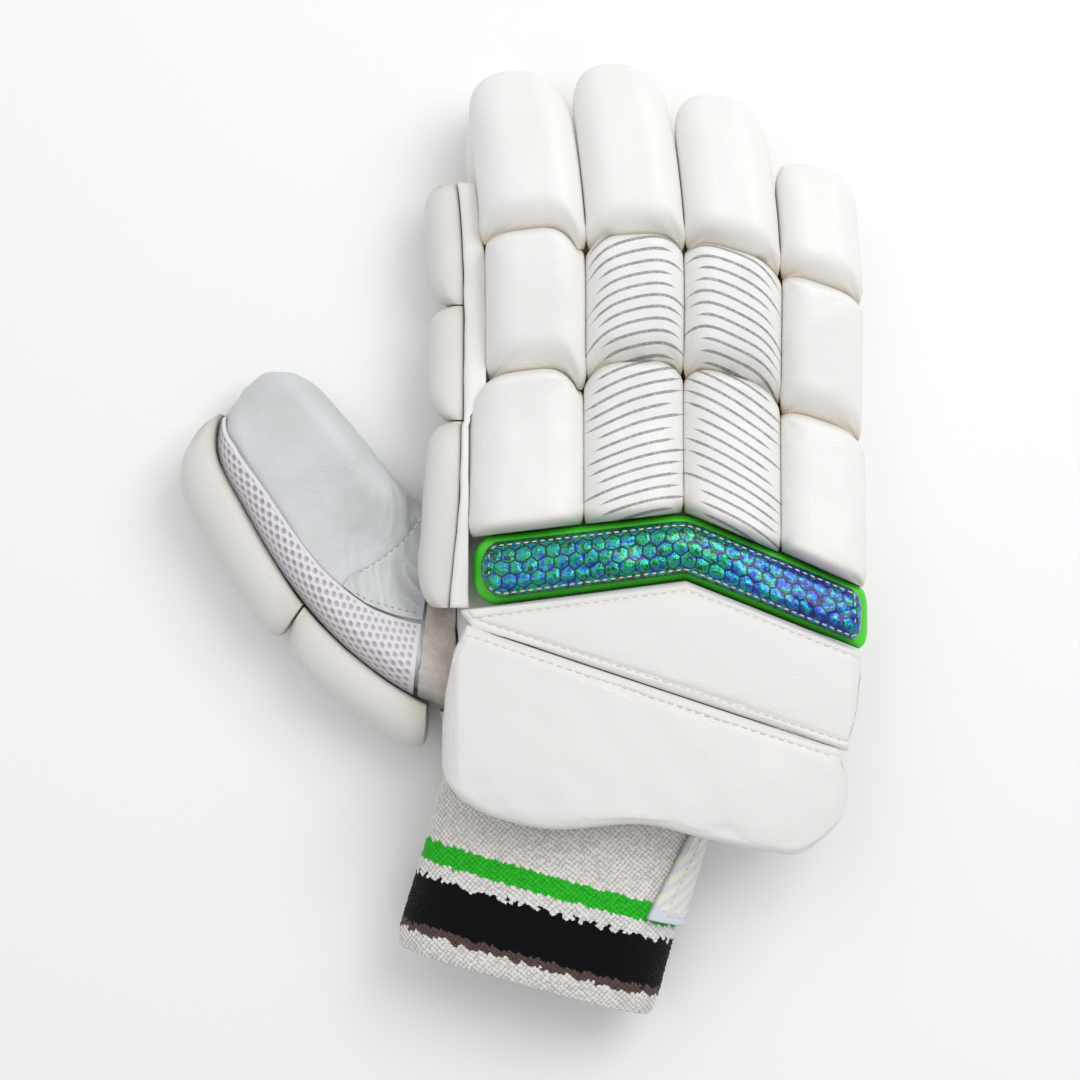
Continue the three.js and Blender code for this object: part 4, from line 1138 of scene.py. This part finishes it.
# %% Blowing up the padding
def rough_copy(piece, square):
    """A copy in even squares, ready to be blown up as cloth."""
    copy = bpy.data.objects.new(f"{piece.name}_rough", piece.data.copy())
    bpy.context.collection.objects.link(copy)
    remesh = copy.modifiers.new("even squares", "REMESH")
    remesh.mode, remesh.voxel_size = "VOXEL", square * MM
    even = bpy.data.meshes.new_from_object(copy.evaluated_get(bpy.context.evaluated_depsgraph_get()))
    copy.modifiers.clear()
    copy.data = even
    foam = copy.modifiers.new("foam", "CLOTH").settings
    foam.quality, foam.mass, foam.effector_weights.gravity = 4, 0.3, 0.0
    foam.use_pressure, foam.uniform_pressure_force = True, 4.0
    return copy


def follow(piece, before, after, limit, nearest=6, batch=2000):
    """Moves fine points outward as the nearest rough ones moved, weighted by closeness."""
    fine, outward = points_of(piece.data), normals_of(piece.data)
    moved = fine.copy()
    for start in range(0, len(fine), batch):
        part = fine[start:start + batch]
        gap = np.linalg.norm(part[:, None] - before[None], axis=2)
        near = np.argpartition(gap, nearest, axis=1)[:, :nearest]
        weight = 1 / (np.take_along_axis(gap, near, 1) + 1.0) ** 2
        step = ((after - before)[near] * weight[..., None]).sum(1) / weight.sum(1, keepdims=True)
        facing = outward[start:start + batch]
        swell = np.maximum((step * facing).sum(1, keepdims=True), 0)
        moved[start:start + batch] += facing * limit * np.tanh(swell / limit)
    piece.data.vertices.foreach_set("co", (moved * MM).astype(np.float32).ravel())
    piece.data.update()
    return float(np.linalg.norm(moved - fine, axis=1).max())


def puff(pieces, square=5.0, limit=0.8, frames=20):
    """Runs the cloth on rough copies of all the pieces at once; then each follows its copy."""
    copies = [rough_copy(piece, square) for piece in pieces]
    for frame_number in range(1, frames + 1):
        bpy.context.scene.frame_set(frame_number)
    graph = bpy.context.evaluated_depsgraph_get()
    farthest = 0.0
    for piece, copy in zip(pieces, copies):
        after = points_of(copy.evaluated_get(graph).data)
        farthest = max(farthest, follow(piece, points_of(copy.data), after, limit))
    for copy in copies:
        rough = copy.data
        bpy.data.objects.remove(copy)
        bpy.data.meshes.remove(rough)
    bpy.context.scene.frame_set(1)
    print("blown up", len(pieces), "pieces, by at most", round(farthest, 2), "mm")


puff(padded_pieces)
shaped_as = lambda piece, grid: points_of(piece.data)[:-2].reshape(grid.shape)
panel_grid = shaped_as(panel, panel_grid)
upper_grid, lower_grid = shaped_as(upper_block, upper_grid), shaped_as(lower_pad, lower_grid)

# %% [markdown]
# Patches lie on the thumb: the spacer mesh between the pads and the leather and the wrinkled
# gusset in the web. Each is a slab between two ways round the thumb's section; the outer layer
# carries the relief, such as the mesh's staggered holes. The felt beside the thumb is cut to the
# palm, so it's a soft copy of its solid.

# %% Mesh, gusset and felt
def patch_layers(table, shape, place, rows, columns, thickness, relief):
    """Under and outer layer between two ways round a section, and how far along and across each point is."""
    at = np.linspace(table["at"][0], table["at"][-1], rows)[:, None]
    share = np.linspace(0, 1, columns)[None, :]
    way = lerp(read(table, "start", at, True), read(table, "stop", at, True), share)
    side, up = way_round(shape, way)
    under = place(at, side, up, patch_gap)
    steps = lambda axis: np.linalg.norm(np.diff(under, axis=axis), axis=2)
    across = np.concatenate([np.zeros((rows, 1)), np.cumsum(steps(1), 1)], 1)
    along = np.cumsum(np.concatenate([[0], steps(0).mean(1)]))[:, None] + 0 * across
    off, values = relief(across, along, share + 0 * at)
    over = place(at, side, up, patch_gap + thickness)
    over = under + (over - under) * (1 + off / thickness)[..., None]
    return under, over, across, along, values


def soft_rim(across, along, width):
    """0 at the rim of a patch and 1 further in than width."""
    wide, tall = across[:, -1:], along[-1, 0]
    inside = np.minimum(np.minimum(across, wide - across), np.minimum(along, tall - along))
    return ease(inside, 0, width)


mesh_cell, row_share = 3.1, 0.866


def holes(across, along, share):
    """Staggered round holes: the distance to the nearest point of a lattice of triangles."""
    row = along / (mesh_cell * row_share)
    nearest = np.full(across.shape, 9.0)
    for step in (0, 1):
        line = np.floor(row) + step
        shift = (line % 2) * 0.5
        column = across / mesh_cell - shift
        dx = (column - np.round(column)) * mesh_cell
        nearest = np.minimum(nearest, np.hypot(dx, (row - line) * mesh_cell * row_share))
    hole = (1 - ease(nearest, 0.6, 1.4)) * soft_rim(across, along, 1.5)
    # The holes are sunk, and the same mask paints shade down them.
    return -0.75 * hole + 0.2 * ease(np.abs(share - 0.5), 0.3, 0.5), {"fold": hole}


mesh_table = {"at": [0.068, 0.19, 0.36, 0.62, 0.8, 0.93], "start": [-0.92, -0.92, -0.92, -0.92, -0.92, -0.94],
              "stop": [-0.26, -0.42, -0.53, -0.6, -0.66, -0.8]}
layers = patch_layers(mesh_table, thumb_shape, thumb_point, 250, 60, mesh_thickness, holes)
thumb_mesh = slab("thumb_mesh_cover", *layers[:4], meshed, "air_mesh", "thumb_mesh", **layers[4])


def wrinkles(across, along, share):
    """Crumpled creases: folded waves that run along the thumb, flat at the sewn rim."""
    fan = across - 0.9 * along
    flat = np.stack([fan, (along + across) * 0.22, 0 * across], -1)
    crumple = 0.8 - np.abs(waves(flat, 9.0, 541)) * 1.3 + waves(flat, 22.0, 542) * 0.7
    rim = soft_rim(across, along, 3.0)
    # Painted shade in the crumples' hollows.
    return 0.6 * rim * crumple, {"fold": np.clip(0.35 - crumple * 0.35, 0, 1)}


gusset_table = {"at": [0.068, 0.15, 0.22, 0.29], "start": [-0.22, -0.34, -0.42, -0.46],
                "stop": [0.86, 0.86, 0.25, -0.34]}
layers = patch_layers(gusset_table, thumb_shape, thumb_point, 120, 130, gusset_thickness, wrinkles)
gusset_over = layers[1]
gusset = slab("web_gusset_cover", *layers[:4], grey, "grey_leather", "web_gusset", **layers[4])


def brushed(across, along, share):
    """A low nap: a fine and a broad sum of waves."""
    flat = np.stack([across, along, 0 * across], -1)
    return waves(flat, 3.0, 551) * 0.2 + waves(flat, 9.0, 552) * 0.3, {}


thumb_felt = soft_copy("thumb_felt", "thumb_felt_cover", 0.6, 3, felted)
push(thumb_felt, lambda p: waves(p, 4.0, 551) * 0.15 + waves(p, 11.0, 553) * 0.35)
wrist_felt_table = {"at": [0.005, 0.075], "start": [-1.1, -1.1], "stop": [-0.9, -0.9]}
layers = patch_layers(wrist_felt_table, shell_shape, hand_point, 24, 60, felt_thickness, brushed)
slab("wrist_felt_cover", *layers[:4], felted, "felt", "wrist_felt")
print("patches: mesh, gusset and two felt edges")

# %% [markdown]
# The cuff is knitted. Its loops are real relief: two crossed, slanting rows of rounded bumps, each
# with its own height, on the outer wall of a tube that is open at both ends.

# %% The knitted cuff and its strap
loop_size, loop_slant = 1.6, 0.5
pattern_rows, pattern_columns = 64, 256
frayed_stripes = {"at": [48.6, 68.0], "spread": [2.4, 1.2], "reach": [4.0, 3.0]}


def cuff_grid():
    """Rings round the oval, the outer wall out to the hem and the inner wall back to the wrist."""
    ways = ways_of(cuff_shape, 52, 74, 48)
    side, up = way_round(cuff_shape, ways)
    distance = np.linspace(clearance, cuff_length, 200)[:, None]
    smooth = cuff_point(distance, side, up, 0.0)
    ring = smooth[100]
    around = np.concatenate([[0], np.cumsum(np.linalg.norm(np.diff(ring, axis=0), axis=1))])[None, :]
    rng = np.random.default_rng(600)
    row = (distance + loop_slant * around) / loop_size + waves(smooth, 5.0, 602) * 0.25
    column = (around - loop_slant * distance) / loop_size + waves(smooth, 4.0, 603) * 0.25
    whole = np.floor(row).astype(int) % pattern_rows, np.floor(column).astype(int) % pattern_columns
    own, stray = (rng.uniform(0, 1, (pattern_rows, pattern_columns))[whole] for _ in (0, 1))
    fade = sum((spread * np.exp(-((distance - at) / reach) ** 2)
                for at, spread, reach in zip(*frayed_stripes.values())), 0.6)
    centre = (np.floor(row) + 0.5 - loop_slant * (np.floor(column) + 0.5)) * loop_size / (1 + loop_slant ** 2)
    stripe = centre + (stray - 0.5) * fade
    dome = np.abs(np.sin(math.pi * row)) ** 0.8 * np.abs(np.sin(math.pi * column)) ** 0.8
    bump = dome * (0.45 + 0.55 * own)
    seam_dip = 0.8 * np.exp(-(distance - clearance) / 3.0) + 0.7 * np.exp(-(cuff_length - distance) / 1.2)
    off = 0.62 * bump - 0.45 + waves(smooth, 28.0, 601) * 0.5 - seam_dip
    outer = cuff_point(distance, side, up, off)
    inner = cuff_point(np.linspace(clearance, cuff_length, 10)[:, None], side, up, -cuff_wall)
    grid = np.concatenate([outer, inner[::-1]])
    along = np.concatenate([distance, np.linspace(cuff_length, clearance, 10)[:, None]]) + 0 * around
    loop = np.concatenate([bump, np.full(inner.shape[:2], 0.5)])
    stripe = np.concatenate([stripe, along[-10:] + 0 * around]) / cuff_length
    return grid, np.stack([around + 0 * along, along], -1), dict(loop=loop, stripe=np.clip(stripe, 0, 1))


points, surface, values = cuff_grid()
cuff = ringed("cuff_cover", points, surface, knitted, "knit", "cuff", endless=True, **values)


def strap_place(at, side, up, grow):
    """The strap lies on the cuff: at runs back along it from the strap's start."""
    return cuff_point(strap_start + at * strap_width, side, up, grow)


def beaded(across, along, share):
    """A raised bead round the rim, a low field inside."""
    inside = 1 - soft_rim(across, along, 1.6)
    return 0.25 * inside - 0.25 + waves(np.stack([across, along, 0 * across], -1), 18.0, 610) * 0.25, {}


strap_table = {"at": [0, 1], "start": [0.76, 0.61], "stop": [2.4, 2.4]}
layers = patch_layers(strap_table, cuff_shape, strap_place, 70, 240, strap_thickness, beaded)
strap_over = layers[1]
strap = slab("strap_cover", *layers[:4], filmed, "strap_film", "strap")
print("cuff", len(cuff.data.polygons), "faces, strap", len(strap.data.polygons))

# %% [markdown]
# Stitches are short bulging capsules of thread. One is worked out for all places at once: rings
# round the seam's own direction, lifted in the middle, in an array of stitches by rings by sides.

# %% Stitches along the seams
def stitches(name, paths, length, gap, radius, finish, slot):
    """Even stitches along paths in millimetres: each is a bowed capsule with three rings and two tips."""
    centres, heads = [], []
    for path in paths:
        steps = np.linalg.norm(np.diff(path, axis=0), axis=1)
        run = np.concatenate([[0], np.cumsum(steps)])
        places = np.arange(gap, run[-1] - length - gap, length + gap)
        begin, end = (np.stack([np.interp(places + k * length, run, path[:, a]) for a in range(3)], -1)
                      for k in (0, 1))
        centres.append((begin + end) / 2)
        heads.append((end - begin) / np.linalg.norm(end - begin, axis=1, keepdims=True))
    centre, head = np.concatenate(centres), np.concatenate(heads)
    across = np.cross(head, [0.0, 0.0, 1.0])
    across /= np.linalg.norm(across, axis=1, keepdims=True)
    lift = np.cross(across, head)
    share = np.array([-1.0, -0.62, 0.0, 0.62, 1.0])[None, :, None, None]
    thick = radius * np.array([0.18, 0.85, 1.0, 0.85, 0.18])[None, :, None, None]
    turn = np.linspace(0, 2 * math.pi, 6, endpoint=False)[None, None, :, None]
    at = centre[:, None, None] + head[:, None, None] * share * length / 2
    at = at + lift[:, None, None] * (radius * 0.55 * (1 - share ** 2) + thick * np.sin(turn))
    at = at + across[:, None, None] * thick * np.cos(turn)
    one = ring_faces(5, 6)
    if volume_of(at[0].reshape(-1, 3), one) < 0:
        one = one[:, ::-1]
    ends = np.array([[0, 1, 2, 3, 4, 5], [29, 28, 27, 26, 25, 24]])
    ends = ends[:, ::-1] if one[0, 1] - one[0, 0] == 1 else ends
    shift = (np.arange(len(centre)) * 30)[:, None, None]
    faces = [(one[None] + shift).reshape(-1, 4), (ends[None] + shift).reshape(-1, 6)]
    points = at.reshape(-1, 3)
    print(name, "has", len(centre), "stitches")
    return put(name, points, faces, points[:, :2], finish, slot)


def top_line(grid, side, target):
    """The line on a pad's upper face at this side in each ring."""
    top = np.flatnonzero(np.diff(np.sign(np.gradient(side))) == 0)
    flank = side[top].argmax(), side[top].argmin()
    columns = top[flank[0]:flank[1] + 1]
    order = columns[np.argsort(side[columns])]
    at_side = lambda ring, place: [np.interp(place, side[order], ring[order, a]) for a in range(3)]
    return np.array([at_side(ring, place) for ring, place in zip(grid, target)])


def inset_target(grid, side, hand, inset):
    """For each ring, the side at which a line lies this far in from one edge."""
    depth = np.abs(grid[:, side.argmax(), 1] - grid[:, side.argmin(), 1])
    return hand * (1 - 2 * inset / depth)


def border(grid, side, inset, skip):
    """A closed line round a pad's upper face, the same distance in from all its edges."""
    upper = top_line(grid, side, inset_target(grid, side, -1, inset))[skip:-skip]
    lower = top_line(grid, side, inset_target(grid, side, 1, inset))[skip:-skip]
    share = np.linspace(0, 1, 12)[1:-1, None]
    height = [top_line(grid[k:k + 1], side, np.array([0.0]))[0, 2] for k in (skip, -skip - 1)]
    ends = []
    for a, b, high in ((upper[-1], lower[-1], height[1]), (lower[0], upper[0], height[0])):
        line = a + (b - a) * share
        line[:, 2] += (high - line[:, 2]) * 0.8 * np.sin(math.pi * share[:, 0]) ** 0.4
        ends.append(line)
    return np.concatenate([upper, ends[0], lower[::-1], ends[1], upper[:1]])


stitch_sizes = {
    "panel": dict(length=1.9, gap=1.0, radius=0.3),
    "block": dict(length=2.3, gap=1.1, radius=0.27),
    "strap": dict(length=1.8, gap=0.9, radius=0.24),
    "thumb": dict(length=1.5, gap=1.3, radius=0.3),
}


def sew(seam, paths, finish, slot):
    """Stitches along one seam, with the sizes in the seam's row of the table."""
    return stitches(f"{seam}_stitches", paths, finish=finish, slot=slot, **stitch_sizes[seam])


panel_in = 1.5
upper_run, lower_run = slice(14, -12), slice(16, -14)
panel_border = border(panel_grid, panel_side, panel_in, 9)
sew("panel", [panel_border], cream_thread, "foil")
upper_targets = [inset_target(upper_grid, upper_side, hand, stitch_in) for hand in (-1, 1)]
upper_lines = [top_line(upper_grid, upper_side, target)[upper_run] for target in upper_targets]
lower_line = top_line(lower_grid, lower_side, inset_target(lower_grid, lower_side, -1, stitch_in))[lower_run]
sew("block", upper_lines + [lower_line], white_thread, "leather")
inset_row, inset_column = 6, 10
strap_lines = [strap_over[inset_row, inset_column:120], strap_over[-inset_row, inset_column:120],
               strap_over[inset_row:-inset_row, inset_column]]
sew("strap", strap_lines, cream_thread, "strap_film")
gusset_lines = [gusset_over[6:-4, -5], gusset_over[6:-8, 8]]
sew("thumb", gusset_lines, grey_thread, "grey_leather")

# %% [markdown]
# Every roll, pad and block is padded, and every patch is a sheet: the flat size of each patch is
# worked out from its under layer and printed. The felt edges are narrow bindings, no wider than a
# few times their thickness, so they are neither.

# %% Soft pieces
def flat_size(layer):
    """The longest width and length of a layer, and its area, in metres."""
    wide = np.linalg.norm(np.diff(layer, axis=1), axis=2).sum(1).max()
    long = np.linalg.norm(np.diff(layer, axis=0), axis=2).sum(0).max()
    a, b = layer[1:, :-1] - layer[:-1, :-1], layer[:-1, 1:] - layer[:-1, :-1]
    area = np.linalg.norm(np.cross(a, b), axis=2).sum()
    return wide * MM, long * MM, area * MM * MM


sheets = [
    (thumb_mesh, mesh_table, thumb_shape, thumb_point, "stretched", "thumb_sleeve"),
    (gusset, gusset_table, thumb_shape, thumb_point, "gathered", "thumb_sleeve"),
    (strap, strap_table, cuff_shape, strap_place, "stretched", "cuff"),
]
plain = lambda across, along, share: (0 * across, {})
for piece, table, shape, place, held, carrier in sheets:
    under = patch_layers(table, shape, place, 60, 60, 1.0, plain)[0]
    wide, long, area = flat_size(under)
    print(piece.name, "is cut", round(wide * 1000), "by", round(long * 1000), "mm")

# %% [markdown]
# The glove lies on a plain pale floor. A broad key lamp to the upper right, a weaker fill to the
# upper left and an even white surround keep the shadows soft. The camera looks straight down, as
# in the photo.

# %% Floor, light and camera
def floor_sheet():
    """A wide square just under the glove."""
    mesh = bpy.data.meshes.new("floor")
    half, level = 3.0, -0.0015
    corners = [(-half, -half), (half, -half), (half, half), (-half, half)]
    mesh.from_pydata([(x, y, level) for x, y in corners], [], [(0, 1, 2, 3)])
    finish = Finish("floor", roughness=0.9)
    finish.set("Base Color", finish.mix(finish.noise(3.0), paint("FDFDFD"), paint("FBFBFC")))
    mesh.materials.append(finish.material)
    floor = bpy.data.objects.new("floor", mesh)
    bpy.context.collection.objects.link(floor)


def lamp(name, place, size, power, aim=(-0.03, 0.03, 0.0)):
    """A square soft box at place that faces aim."""
    light = bpy.data.lights.new(name, "AREA")
    light.size, light.energy = size, power
    piece = bpy.data.objects.new(name, light)
    bpy.context.collection.objects.link(piece)
    x, y, z = (a - p for a, p in zip(aim, place))
    piece.location = place
    piece.rotation_euler = (math.atan2(math.hypot(x, y), -z), 0, math.atan2(-x, y) if (x or y) else 0)


floor_sheet()
lamp("key", (0.6, 0.65, 1.15), 0.9, 9.2)
lamp("fill", (-0.5, 0.55, 1.3), 1.2, 3.0)
world = bpy.data.worlds.new("studio")
bpy.context.scene.world = world
world.use_nodes = True
world.node_tree.nodes["Background"].inputs["Color"].default_value = (1.0, 1.0, 1.0, 1.0)
world.node_tree.nodes["Background"].inputs["Strength"].default_value = 0.56
bpy.context.scene.view_settings.view_transform = "Standard"

camera = bpy.data.cameras.new("camera")
camera.sensor_width = 36.0
camera.lens = 95.2
camera.clip_start, camera.clip_end = 0.05, 20.0
viewer = bpy.data.objects.new("camera", camera)
bpy.context.collection.objects.link(viewer)
viewer.location = (-0.0385, 0.035, 1.045)
bpy.context.scene.camera = viewer
print("camera looks straight down from", viewer.location.z, "m")
